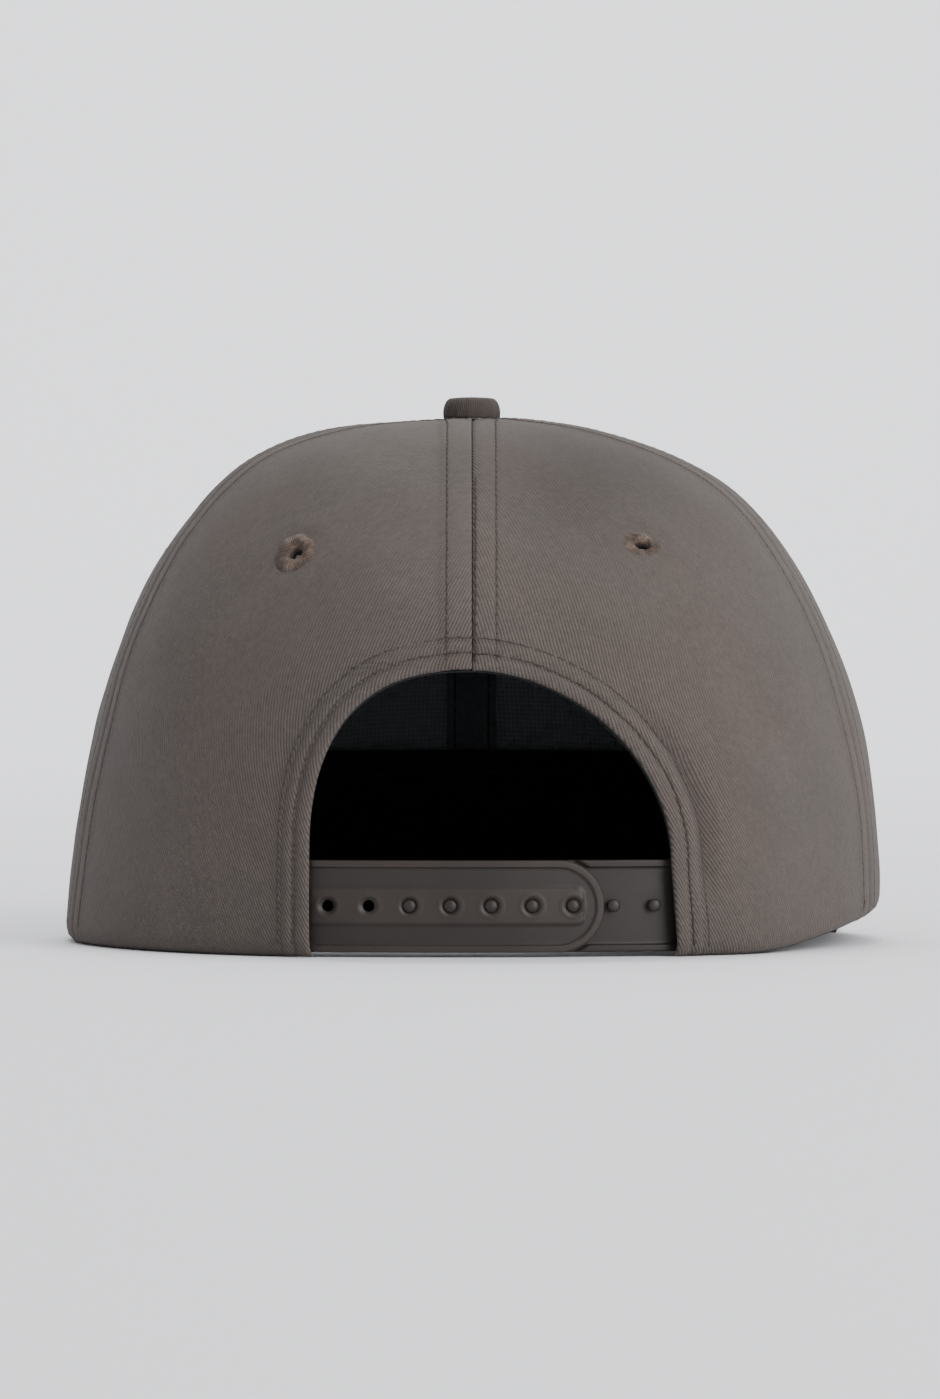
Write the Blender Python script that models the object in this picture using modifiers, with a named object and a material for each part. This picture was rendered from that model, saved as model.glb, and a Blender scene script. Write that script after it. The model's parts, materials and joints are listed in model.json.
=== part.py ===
"""A six-panel snapback baseball cap, standing on a table.

Blender 4.5, metres, +Z up. The origin is the middle of the head opening at table level. +Y points
forward over the visor, -Y through the rear arch, and +X to the wearer's right. A "turn" is an angle
round the crown: 0 at the front and positive towards +X. A "climb" runs from 0 at the hem to 1 at the
crown's top.
"""

import math

import bmesh
import bpy
from mathutils import Matrix, Vector

# ---- Driving dimensions, in metres and radians ----
GAP = 0.0003  # the clearance between neighbouring pieces
LAYER_GAP = 0.0007  # the clearance between curved layers, which their flat facets use up in part

CROWN_HALF_WIDTH = 0.0938
CROWN_HALF_LENGTH = 0.0990
CROWN_HEIGHT = 0.1196
FABRIC = 0.0012
TOP_RING = 0.0024  # the hole in the crown's top for the button's post
PANEL_COLUMNS = 9
PANEL_ROWS = 16

# Each side's meridian: the power of its height, the power of its radius, and its pinch at mid height
MERIDIANS = {
    "front": (3.00, 3.20, 0.00),
    "right": (2.35, 2.60, 0.00),
    "rear": (2.00, 2.20, 0.00),
    "left": (2.25, 2.80, 0.12),
}

FRONT_SEAM = math.radians(57)
REAR_SEAM_RIGHT = math.radians(107)
REAR_SEAM_LEFT = math.radians(106)

# The hem stands on the visor in front, and comes down to the table between these turns
HEM_FALL_RIGHT = (math.radians(104), math.radians(142))
HEM_FALL_LEFT = (math.radians(77), math.radians(96))
HEM_LOWEST = 0.0002

VISOR_REACH = 0.070
VISOR_HALF_WIDTH = 0.0872
VISOR_WIDEST_AT = 0.046
VISOR_POWER = 2.45
VISOR_TIP_TURN = math.radians(72)
VISOR_TIP_TUCK = 0.0014  # how far each side of the visor draws in behind its widest place
VISOR_STEPS = 36
VISOR_TUCK_STEPS = 6
VISOR_BOARD = 0.0020
VISOR_CLOTH = 0.0006
VISOR_STACK = VISOR_BOARD + 2 * (VISOR_CLOTH + GAP)

ARCH_TOP = 0.0630
ARCH_SPRING = 0.0210  # where the arch's upright sides end
ARCH_LEFT = 0.0357
ARCH_RIGHT = 0.0436
ARCH_RIGHT_SPLAY = 0.0016
ARCH_LEFT_POWER = 2.5
ARCH_RIGHT_POWER = 1.88
ARCH_STEPS = 40
ARCH_CUTTER_FROM = 0.03  # how far behind the origin the arch's cutter starts and ends
ARCH_CUTTER_TO = 0.13
ARCH_CUTTER_BELOW = 0.02
ARCH_UPRIGHT_SHARE = 0.25  # the share of each side's steps that its upright stretch takes

BUCKRAM = 0.0007
BUCKRAM_ROWS = 13  # how many of the panel's rows the buckram covers
TAPE = 0.0005
TAPE_WIDTH = 0.012
TAPE_LOWEST_ROW = 1
TAPE_ABOVE_ARCH_ROW = 7
TAPE_TOP_STATIONS = (0.016, 0.009, 0.004)  # radii of the tapes' last steps by the crown's top
TAPE_FLAT_WITHIN = 0.020  # a tape's sides stay straight within this radius
TAPE_LAYERS_FROM = 0.013  # the tapes are stacked within this radius
TAPE_LAYERS_FADE = 0.018  # and come down to their own depths over this much more
TAPE_COUNT = 3
BINDING = 0.0006
BINDING_WIDTH = 0.010
BINDING_ENDS = (0.02, 0.98)  # shares of the arch's edge
SWEATBAND = 0.0010
SWEATBAND_TOP = 0.0420
SWEATBAND_ENDS = (math.radians(-154), math.radians(148))

# Each eyelet's turn and height
EYELETS = {
    "front_left_eyelet": (math.radians(-28), 0.0880),
    "front_right_eyelet": (math.radians(28), 0.0880),
    "side_left_eyelet": (math.radians(-81), 0.0880),
    "side_right_eyelet": (math.radians(81), 0.0880),
    "rear_left_eyelet": (math.radians(-145.6), 0.0890),
    "rear_right_eyelet": (math.radians(146.2), 0.0906),
}
EYELET_RADIUS = 0.0042
EYELET_HOLE = 0.0012
EYELET_HALF_THICKNESS = 0.0009
EYELET_SIDES = 6  # of the ring's cross-section

BUTTON_RADIUS = 0.0066
BUTTON_HEIGHT = 0.0046
BUTTON_CLOTH = 0.0005
BUTTON_METAL = 0.0004
BUTTON_CORNER = 0.5  # the rounding at the rim, as a share of the button's height
BUTTON_CORNER_ANGLES = tuple(math.radians(angle) for angle in (15, 34, 53, 71, 90))
POST_HOLE_DEPTH = 0.02
POST_RADIUS = 0.0012
POST_FLANGE = 0.0006  # thickness of the post's flange inside the button
POST_FLANGE_RADIUS = 0.0030
POST_TAPER = 0.0004
POST_FOOT = 0.0006  # the spread foot that holds the washer
POST_FOOT_RADIUS = 0.0019
POST_FOOT_TIP_RADIUS = 0.0015
POST_BELOW_WASHER = 0.0012
WASHER = 0.0008
WASHER_RADIUS = 0.0055

STRAP_LOW = 0.0011
STRAP_WIDTH = 0.0202
STRAP_TIP_STEPS = 12
STRAP_BEND_RADIUS = 0.190
STRAP_PLATE = 0.0010
STRAP_RAISED = 0.0004
STRAP_RIM = 0.0016
STRAP_RIB_WIDTH = 0.0080
STRAP_STEP = 0.0045
TAB = 0.0009
TAB_LENGTH = 0.012
SNAP_PITCH = 0.0089
SNAP_COUNT = 7
SNAPS_JOINED = 5
SNAP_RISE = 0.0102  # the row of snaps above the strap's lower edge
FEMALE_TIP_X = 0.0287
TIP_TO_SNAP = 0.0067
HOLE_RADIUS = 0.00185
RIB_TO_TIP = 0.0045
RELIEF_STEP = 0.0001  # the strap's raised relief starts this far inside the edges below it
RELIEF_START = 0.0010  # and this far from the strap's bent end
PEG_RADIUS = 0.00135
PEG_TIP_SHARE = 0.8  # the peg's radius at its tip
PEG_PROUD = 0.0009
HINGE_FROM_EDGE = 0.0005  # each strap half bends this far inside the arch's edge
HINGE_CLEARANCE = 0.0007

# Each layer's depth below the crown's outer face
BUCKRAM_DEPTH = FABRIC + LAYER_GAP
FRONT_TAPE_DEPTH = BUCKRAM_DEPTH + BUCKRAM + LAYER_GAP
REAR_TAPE_DEPTH = FABRIC + LAYER_GAP
BINDING_DEPTH = FABRIC + LAYER_GAP
STRAP_DEPTH = BINDING_DEPTH + BINDING + LAYER_GAP
SWEATBAND_DEPTH = STRAP_DEPTH + TAB + LAYER_GAP
VISOR_ROOT_DEPTH = SWEATBAND_DEPTH - LAYER_GAP

FINISHES = {  # colour, roughness, metallic
    "twill": ((0.16, 0.14, 0.13), 0.9, 0.0),
    "lining": ((0.012, 0.012, 0.013), 0.95, 0.0),
    "buckram": ((0.03, 0.03, 0.03), 0.9, 0.0),
    "board": ((0.55, 0.55, 0.52), 0.5, 0.0),
    "thread": ((0.17, 0.14, 0.11), 0.8, 0.0),
    "strap": ((0.05, 0.042, 0.038), 0.45, 0.0),
    "metal": ((0.60, 0.60, 0.60), 0.35, 1.0),
}


# ---- The scene ----
def clear_scene():
    for obj in list(bpy.data.objects):
        bpy.data.objects.remove(obj)


def collection(name):
    made = bpy.data.collections.new(name)
    bpy.context.scene.collection.children.link(made)
    return made


def finish(name):
    """The Principled material of that name, made when it is first asked for."""
    material = bpy.data.materials.get(name)
    if material:
        return material
    colour, roughness, metallic = FINISHES[name]
    material = bpy.data.materials.new(name)
    material.use_nodes = True
    shader = material.node_tree.nodes["Principled BSDF"]
    shader.inputs["Base Color"].default_value = (*colour, 1)
    shader.inputs["Roughness"].default_value = roughness
    shader.inputs["Metallic"].default_value = metallic
    return material


def add_part(name, mesh, material):
    mesh.materials.clear()
    mesh.materials.append(finish(material))
    obj = bpy.data.objects.new(name, mesh)
    bpy.data.collections["baseball_cap"].objects.link(obj)
    return obj


def add_cutter(name, mesh):
    obj = bpy.data.objects.new(name, mesh)
    obj.hide_render = True
    obj.display_type = "WIRE"
    bpy.data.collections["cutters"].objects.link(obj)
    return obj


def boolean(obj, cutter, operation="DIFFERENCE"):
    step = obj.modifiers.new(cutter.name, "BOOLEAN")
    step.operation = operation
    step.solver = "EXACT"
    step.object = cutter


def mesh_from(name, working):
    mesh = bpy.data.meshes.new(name)
    working.to_mesh(mesh)
    working.free()
    return mesh


def evaluated_mesh(obj):
    """The object's mesh in world space with its modifiers applied. The object is removed."""
    graph = bpy.context.evaluated_depsgraph_get()
    mesh = bpy.data.meshes.new_from_object(obj.evaluated_get(graph))
    mesh.transform(obj.matrix_world)
    bpy.data.objects.remove(obj)
    return mesh


# ---- Shapes ----
def ease(share):
    share = min(1.0, max(0.0, share))
    return share * share * (3 - 2 * share)


def solve(value_at, target, low, high):
    """Where a steadily rising or falling value reaches the target, between low and high."""
    rising = value_at(high) > value_at(low)
    for _ in range(32):
        middle = (low + high) / 2
        if (value_at(middle) < target) == rising:
            low = middle
        else:
            high = middle
    return (low + high) / 2


def sheet(name, columns, rows, place, thickness, material):
    """A grid with each point at place(across, along), both from 0 to 1, thickened inward."""
    working = bmesh.new()
    bmesh.ops.create_grid(working, x_segments=columns, y_segments=rows, size=0.5)
    for vertex in working.verts:
        vertex.co = place(vertex.co.x + 0.5, vertex.co.y + 0.5)
    working.normal_update()
    inside = Vector((0, 0, CROWN_HEIGHT / 3))
    outward = 0.0
    for face in working.faces:
        outward += face.calc_area() * face.normal.dot(face.calc_center_median() - inside)
    if outward < 0:
        bmesh.ops.reverse_faces(working, faces=working.faces)
    obj = add_part(name, mesh_from(name, working), material)
    obj.data.shade_smooth()
    shell = obj.modifiers.new("thickness", "SOLIDIFY")
    shell.thickness = thickness
    shell.offset = -1
    return obj


def plate_mesh(name, outline, low, high):
    """A flat plate between two heights."""
    data = bpy.data.curves.new(name, "CURVE")
    data.dimensions = "2D"
    data.fill_mode = "BOTH"
    data.extrude = (high - low) / 2
    spline = data.splines.new("POLY")
    spline.points.add(len(outline) - 1)
    for point, (x, y) in zip(spline.points, outline):
        point.co = (x, y, 0, 1)
    spline.use_cyclic_u = True
    obj = bpy.data.objects.new(name, data)
    bpy.data.collections["cutters"].objects.link(obj)
    obj.location.z = (low + high) / 2
    bpy.context.view_layer.update()
    mesh = evaluated_mesh(obj)
    working = bmesh.new()
    working.from_mesh(mesh)
    bmesh.ops.remove_doubles(working, verts=working.verts, dist=0.00001)
    bmesh.ops.recalc_face_normals(working, faces=working.faces)
    working.to_mesh(mesh)
    working.free()
    return mesh


def turned(name, profile, base, material, steps=24):
    """A profile of (radius, height) points, down its outer side first, turned about the Z axis."""
    working = bmesh.new()
    ring = [working.verts.new((radius, 0, height)) for radius, height in profile]
    for start, end in zip(ring, ring[1:]):
        working.edges.new((start, end))
    if profile[0][0] > 0:
        working.edges.new((ring[-1], ring[0]))
    obj = add_part(name, mesh_from(name, working), material)
    obj.location.z = base
    turn = obj.modifiers.new("turn", "SCREW")
    turn.steps = steps
    turn.render_steps = steps
    turn.use_merge_vertices = True
    turn.merge_threshold = 0.00001
    return obj


# ---- The crown's surface ----
def hem_radius(turn):
    return 1 / math.hypot(math.sin(turn) / CROWN_HALF_WIDTH, math.cos(turn) / CROWN_HALF_LENGTH)


def hem_height(turn):
    turn = math.remainder(turn, 2 * math.pi)
    start, end = HEM_FALL_RIGHT if turn > 0 else HEM_FALL_LEFT
    fall = ease((abs(turn) - start) / (end - start))
    return HEM_LOWEST + VISOR_STACK * (1 - fall)


def meridian(turn):
    """The three shape numbers at this turn, mixed from the sides that it lies between."""
    forward = math.cos(turn)
    rightward = math.sin(turn)
    first = MERIDIANS["front" if forward > 0 else "rear"]
    second = MERIDIANS["right" if rightward > 0 else "left"]
    return [forward**2 * a + rightward**2 * b for a, b in zip(first, second)]


def crown_face(turn, climb):
    """A point of the crown's outer face."""
    height_power, radius_power, pinch = meridian(turn)
    angle = climb * math.pi / 2
    rise = math.sin(angle) ** (2 / height_power)
    narrowing = max(0.0, math.cos(angle)) ** (2 / radius_power) * (1 - pinch * rise * (1 - rise))
    radius = hem_radius(turn) * narrowing
    hem = hem_height(turn)
    return Vector((radius * math.sin(turn), radius * math.cos(turn), hem + (CROWN_HEIGHT - hem) * rise))


def crown_normal(turn, climb):
    step = 0.002
    climb = min(0.985, max(0.01, climb))
    upward = crown_face(turn, climb + step) - crown_face(turn, climb - step)
    sideways = crown_face(turn - step, climb) - crown_face(turn + step, climb)
    return sideways.cross(upward).normalized()


def crown_point(turn, climb, depth):
    return crown_face(turn, climb) - depth * crown_normal(turn, climb)


def climb_at_height(turn, height):
    return solve(lambda climb: crown_face(turn, climb).z, height, 0.0, 1.0)


def climb_at_radius(turn, radius):
    return solve(lambda climb: crown_face(turn, climb).xy.length, radius, 0.0, 1.0)


def rear_point(x, height, depth):
    """The point with this x at the depth below the crown's rear face, at about this height."""

    def below(turn):
        return crown_point(turn, climb_at_height(turn, height), depth)

    return below(solve(lambda turn: below(turn).x, x, REAR_SEAM_RIGHT, 2 * math.pi - REAR_SEAM_LEFT))


def row_climb(turn, row):
    """The climb of one of the rows that the crown's layers share, so that they nest."""
    return row / PANEL_ROWS * climb_at_radius(turn, TOP_RING)


# ---- The crown ----
def panel(name, start, end):
    """One panel between two seams. Each edge keeps half the gap to its seam."""
    middle = (start + end) / 2

    def place(across, along):
        climb = row_climb(middle, along * PANEL_ROWS)
        margin = GAP / crown_face(middle, climb).xy.length
        return crown_face(start + margin + across * (end - start - 2 * margin), climb)

    return sheet(name, PANEL_COLUMNS, PANEL_ROWS, place, FABRIC, "twill")


def eyelet_place(turn, height):
    """Stands a piece in the crown's cloth at an eyelet, with its Z axis pointing outward."""
    climb = climb_at_height(turn, height)
    outward = crown_normal(turn, climb).to_track_quat("Z", "Y").to_matrix().to_4x4()
    return Matrix.Translation(crown_point(turn, climb, FABRIC / 2)) @ outward


def eyelet_cutter(name, place):
    working = bmesh.new()
    radius = EYELET_RADIUS + GAP
    bmesh.ops.create_cone(
        working, cap_ends=True, segments=18, radius1=radius, radius2=radius, depth=0.01, matrix=place
    )
    return add_cutter(name, mesh_from(name, working))


def eyelet(name, place):
    """The ring of thread worked round an air hole."""
    ring_radius = (EYELET_RADIUS + EYELET_HOLE) / 2
    half_width = (EYELET_RADIUS - EYELET_HOLE) / 2
    profile = []
    for k in range(EYELET_SIDES):
        angle = math.pi / 2 - 2 * math.pi * k / EYELET_SIDES
        radius = ring_radius + half_width * math.cos(angle)
        profile.append((radius, EYELET_HALF_THICKNESS * math.sin(angle)))
    obj = turned(name, profile, 0, "thread", 16)
    obj.matrix_world = place
    return obj


def crown_panels():
    seams = {
        "front_left_panel": (-FRONT_SEAM, 0.0),
        "front_right_panel": (0.0, FRONT_SEAM),
        "side_left_panel": (-REAR_SEAM_LEFT, -FRONT_SEAM),
        "side_right_panel": (FRONT_SEAM, REAR_SEAM_RIGHT),
        "rear_left_panel": (-math.pi, -REAR_SEAM_LEFT),
        "rear_right_panel": (REAR_SEAM_RIGHT, math.pi),
    }
    opening = arch_cutter()
    for name, (start, end) in seams.items():
        obj = panel(name, start, end)
        eyelet_name = name.replace("panel", "eyelet")
        place = eyelet_place(*EYELETS[eyelet_name])
        boolean(obj, eyelet_cutter(name.replace("panel", "air_hole"), place))
        eyelet(eyelet_name, place)
        if name.startswith("rear"):
            boolean(obj, opening)


def buckram(name, start, end):
    """The stiff backing behind one front panel."""
    middle = (start + end) / 2

    def place(across, along):
        climb = row_climb(middle, along * BUCKRAM_ROWS)
        margin = GAP / crown_face(middle, climb).xy.length
        return crown_point(start + margin + across * (end - start - 2 * margin), climb, BUCKRAM_DEPTH)

    sheet(name, PANEL_COLUMNS, BUCKRAM_ROWS, place, BUCKRAM, "buckram")


def tape_stations(turn, lowest_row):
    """(turn, climb, radius) up one seam, from its lowest row to the hole at the crown's top."""
    climbs = [row_climb(turn, row) for row in range(lowest_row, PANEL_ROWS)]
    climbs += [climb_at_radius(turn, radius) for radius in TAPE_TOP_STATIONS]
    return [(turn, climb, crown_face(turn, climb).xy.length) for climb in sorted(climbs)]


def seam_tape(name, front_turn, rear_turn, rear_row, layer):
    """A tape up one seam, over the top and down the opposite one, lying in layers at the top."""
    rising = tape_stations(front_turn, TAPE_LOWEST_ROW)
    falling = tape_stations(rear_turn, rear_row)[::-1]
    stations = rising + [(front_turn, 1.0, 0.0)] + falling

    def place(across, along):
        index = round(along * (len(stations) - 1))
        turn, climb, radius = stations[index]
        forward = index <= len(rising)
        offset = (across - 0.5) * TAPE_WIDTH * (1 if forward else -1)
        spread = ease((radius - TAPE_LAYERS_FROM) / TAPE_LAYERS_FADE)
        depth = FRONT_TAPE_DEPTH + layer * (TAPE + GAP) * (1 - spread)
        if not forward:
            depth += (REAR_TAPE_DEPTH - FRONT_TAPE_DEPTH) * spread
        if radius > TAPE_FLAT_WITHIN:
            return crown_point(turn + math.atan2(offset, radius), climb, depth)
        x = radius * math.sin(turn) + offset * math.cos(turn)
        y = radius * math.cos(turn) - offset * math.sin(turn)
        distance = math.hypot(x, y)
        own_turn = math.atan2(x, y) if distance > 0.0001 else turn
        height = crown_face(own_turn, climb_at_radius(own_turn, distance)).z
        return Vector((x, y, height - depth))

    return sheet(name, 2, len(stations) - 1, place, TAPE, "lining")


def seam_tapes():
    low = TAPE_LOWEST_ROW
    tapes = [
        seam_tape("centre_seam_tape", 0.0, math.pi, TAPE_ABOVE_ARCH_ROW, 0),
        seam_tape("right_to_left_seam_tape", FRONT_SEAM, -REAR_SEAM_LEFT, low, 1),
        seam_tape("left_to_right_seam_tape", -FRONT_SEAM, REAR_SEAM_RIGHT, low, 2),
    ]
    hole = cylinder_cutter("post_hole", TOP_RING, CROWN_HEIGHT, POST_HOLE_DEPTH)
    for obj in tapes:
        boolean(obj, hole)


def cylinder_cutter(name, radius, height, depth):
    working = bmesh.new()
    place = Matrix.Translation((0, 0, height))
    bmesh.ops.create_cone(
        working, cap_ends=True, segments=16, radius1=radius, radius2=radius, depth=depth, matrix=place
    )
    return add_cutter(name, mesh_from(name, working))


def sweatband():
    start, end = SWEATBAND_ENDS

    def place(across, along):
        turn = start + across * (end - start)
        height = HEM_LOWEST + along * (SWEATBAND_TOP - HEM_LOWEST)
        climb = climb_at_height(turn, max(height, hem_height(turn)))
        point = crown_point(turn, climb, SWEATBAND_DEPTH)
        point.z = height
        return point

    sheet("sweatband", 44, 4, place, SWEATBAND, "lining")


# ---- The rear arch ----
def arch_side(share, right):
    """(x, height) on one side of the arch, from 0 at the table to 1 at the arch's top."""
    half = ARCH_RIGHT if right else ARCH_LEFT
    power = ARCH_RIGHT_POWER if right else ARCH_LEFT_POWER
    upright = share / ARCH_UPRIGHT_SHARE
    if upright < 1:
        height = ARCH_SPRING * upright
        half += ARCH_RIGHT_SPLAY * (1 - upright) if right else 0
    else:
        angle = (share - ARCH_UPRIGHT_SHARE) / (1 - ARCH_UPRIGHT_SHARE) * math.pi / 2
        height = ARCH_SPRING + (ARCH_TOP - ARCH_SPRING) * math.sin(angle) ** (2 / power)
        half *= max(0.0, math.cos(angle)) ** (2 / power)
    return Vector((half if right else -half, height))


def arch_edge(share):
    """(x, height) along the whole arch: 0 at its left foot, 0.5 at its top, 1 at its right foot."""
    return arch_side(2 * share, False) if share <= 0.5 else arch_side(2 - 2 * share, True)


def arch_x(height, right):
    share = solve(lambda part: arch_side(part, right).y, height, 0.0, 1.0)
    return arch_side(share, right).x


def arch_cutter():
    edge = [arch_edge(k / ARCH_STEPS) for k in range(ARCH_STEPS + 1)]
    outline = [(edge[0].x, -ARCH_CUTTER_BELOW), *edge, (edge[-1].x, -ARCH_CUTTER_BELOW)]
    mesh = plate_mesh("rear_arch_opening", outline, ARCH_CUTTER_FROM, ARCH_CUTTER_TO)
    mesh.transform(Matrix.Rotation(math.pi / 2, 4, "X"))
    return add_cutter("rear_arch_opening", mesh)


def arch_binding():
    """The tape that faces the arch's edge on the inside of the rear panels."""

    start, end = BINDING_ENDS
    step = 0.01

    def place(across, along):
        share = start + (end - start) * along
        edge = arch_edge(share)
        heading = arch_edge(share + step) - arch_edge(share - step)
        outward = Vector((-heading.y, heading.x)).normalized()
        flat = edge + outward * (GAP + across * (BINDING_WIDTH - GAP))
        return rear_point(flat.x, flat.y, BINDING_DEPTH)

    sheet("rear_arch_binding", 2, ARCH_STEPS, place, BINDING, "lining")


# ---- The visor ----
def visor_outline():
    """The front edge from left to right, then the root inside the crown's hem from right to left."""
    reach = CROWN_HALF_LENGTH + VISOR_REACH - VISOR_WIDEST_AT
    tip_radius = hem_radius(VISOR_TIP_TURN) - VISOR_ROOT_DEPTH
    tip_y = tip_radius * math.cos(VISOR_TIP_TURN)
    side = []
    for k in range(1, VISOR_TUCK_STEPS):
        share = k / VISOR_TUCK_STEPS
        x = VISOR_HALF_WIDTH - VISOR_TIP_TUCK * share**2
        y = VISOR_WIDEST_AT + (tip_y - VISOR_WIDEST_AT) * share
        side.append((x, y))
    outline = [(-x, y) for x, y in reversed(side)]
    for k in range(VISOR_STEPS + 1):
        angle = math.pi * (k / VISOR_STEPS - 0.5)
        x = math.copysign(VISOR_HALF_WIDTH * abs(math.sin(angle)) ** (2 / VISOR_POWER), angle)
        y = VISOR_WIDEST_AT + reach * max(0.0, math.cos(angle)) ** (2 / VISOR_POWER)
        outline.append((x, y))
    outline += side
    for k in range(VISOR_STEPS + 1):
        turn = VISOR_TIP_TURN * (1 - 2 * k / VISOR_STEPS)
        radius = hem_radius(turn) - VISOR_ROOT_DEPTH
        outline.append((radius * math.sin(turn), radius * math.cos(turn)))
    return outline


def visor():
    under_top = VISOR_CLOTH
    board_low = under_top + GAP
    board_top = board_low + VISOR_BOARD
    layers = {
        "visor_under_cover": (0.0, under_top, "twill"),
        "visor_board": (board_low, board_top, "board"),
        "visor_upper_cover": (board_top + GAP, VISOR_STACK, "twill"),
    }
    for name, (low, high, material) in layers.items():
        add_part(name, plate_mesh(name, visor_outline(), low, high), material)


# ---- The button ----
def dome(radius, height):
    """The outer line of a low dome from its middle to its rim."""
    corner = BUTTON_CORNER * height
    line = [(0.0, height), (radius - 2.2 * corner, height - 0.06 * corner)]
    for angle in BUTTON_CORNER_ANGLES:
        x = radius - corner * (1 - math.sin(angle))
        line.append((x, height - corner * (1 - math.cos(angle))))
    line.append((radius, 0.0))
    return line


def dome_shell(name, radius, height, thickness, base, material):
    outer = dome(radius, height)
    inner = dome(radius - thickness, height - thickness)
    turned(name, outer + inner[::-1], base, material)


def button():
    base = CROWN_HEIGHT + GAP
    dome_shell("button_cover", BUTTON_RADIUS, BUTTON_HEIGHT, BUTTON_CLOTH, base, "twill")
    inset = BUTTON_CLOTH + GAP
    shell_radius = BUTTON_RADIUS - inset
    shell_height = BUTTON_HEIGHT - inset
    dome_shell("button_shell", shell_radius, shell_height, BUTTON_METAL, base, "metal")
    washer_top = CROWN_HEIGHT - FRONT_TAPE_DEPTH - TAPE_COUNT * (TAPE + GAP)
    head = shell_height - BUTTON_METAL - GAP
    under_head = head - POST_FLANGE
    post_low = washer_top - WASHER - POST_BELOW_WASHER - base
    foot_top = post_low + POST_FOOT
    post = [
        (0.0, head),
        (POST_FLANGE_RADIUS, head),
        (POST_FLANGE_RADIUS, under_head),
        (POST_RADIUS, under_head - POST_TAPER),
        (POST_RADIUS, foot_top + GAP),
        (POST_FOOT_RADIUS, foot_top),
        (POST_FOOT_TIP_RADIUS, post_low),
        (0.0, post_low),
    ]
    turned("button_post", post, base, "metal", 16)
    bore = POST_RADIUS + GAP
    washer = [(bore, 0.0), (WASHER_RADIUS, 0.0), (WASHER_RADIUS, -WASHER), (bore, -WASHER)]
    turned("button_washer", washer, washer_top, "metal", 20)


# ---- The snap strap ----
def strap_middle():
    return STRAP_LOW + STRAP_WIDTH / 2


def strap_anchor(right):
    """The bending line of one strap half, in the middle of its plate's thickness."""
    edge = arch_x(strap_middle(), right)
    x = edge - HINGE_FROM_EDGE if right else edge + HINGE_FROM_EDGE
    return rear_point(x, strap_middle(), STRAP_DEPTH + STRAP_PLATE / 2 + GAP)


def strap_arc():
    """Centre and radius of the cylinder between the two halves. The female half lies outside it."""
    half_step = (STRAP_PLATE + GAP) / 2
    left = strap_anchor(False).xy
    right = strap_anchor(True).xy
    chord = right - left
    outward = Vector((chord.y, -chord.x)).normalized()
    left = left - outward * half_step
    right = right + outward * half_step
    chord = right - left
    middle = (left + right) / 2
    drop = math.sqrt(STRAP_BEND_RADIUS**2 - (chord.length / 2) ** 2)
    inward = Vector((-chord.y, chord.x)).normalized()
    return middle + inward * drop, STRAP_BEND_RADIUS


def bend(mesh, centre, radius):
    """Rolls a flat strap onto the cylinder. Its x stays x, its y is up and its z is outward."""
    for vertex in mesh.vertices:
        x, up, outward = vertex.co
        angle = math.asin((x - centre.x) / radius)
        reach = radius + outward
        y = centre.y - reach * math.cos(angle)
        vertex.co = (centre.x + reach * math.sin(angle), y, STRAP_LOW + up)


def strap_outline(start, tip, inset=0.0):
    """A straight strap from its bending line to its round tip."""
    heading = 1 if tip > start else -1
    low = inset
    high = STRAP_WIDTH - inset
    corner = (high - low) / 2
    round_start = tip - heading * (corner + inset)
    end = []
    for k in range(STRAP_TIP_STEPS + 1):
        angle = math.pi * (k / STRAP_TIP_STEPS - 0.5)
        x = round_start + heading * corner * math.cos(angle)
        end.append((x, STRAP_WIDTH / 2 + corner * math.sin(angle)))
    return [(start, low), *end, (start, high)]


def snap_row(name, first, low, high, radius, top_radius):
    """One cutter of round pegs, a snap pitch apart, between two heights of the flat strap."""
    working = bmesh.new()
    for k in range(SNAP_COUNT):
        bmesh.ops.create_cone(
            working,
            cap_ends=True,
            segments=14,
            radius1=radius,
            radius2=top_radius,
            depth=high - low,
            matrix=Matrix.Translation((first + SNAP_PITCH * k, SNAP_RISE, (low + high) / 2)),
        )
    return add_cutter(name, mesh_from(name, working))


def finish_strap(body, arc):
    """Applies the unions, cuts the flat strap into short stretches and bends them onto its cylinder."""
    name = body.name
    mesh = evaluated_mesh(body)
    working = bmesh.new()
    working.from_mesh(mesh)
    ends = [vertex.co.x for vertex in working.verts]
    cuts = int((max(ends) - min(ends)) / STRAP_STEP)
    for k in range(1, cuts + 1):
        geometry = working.verts[:] + working.edges[:] + working.faces[:]
        place = (min(ends) + k * STRAP_STEP, 0, 0)
        bmesh.ops.bisect_plane(working, geom=geometry, dist=0.000001, plane_co=place, plane_no=(1, 0, 0))
    bmesh.ops.triangulate(working, faces=working.faces)
    working.to_mesh(mesh)
    working.free()
    bend(mesh, *arc)
    add_part(name, mesh, "strap")


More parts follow.
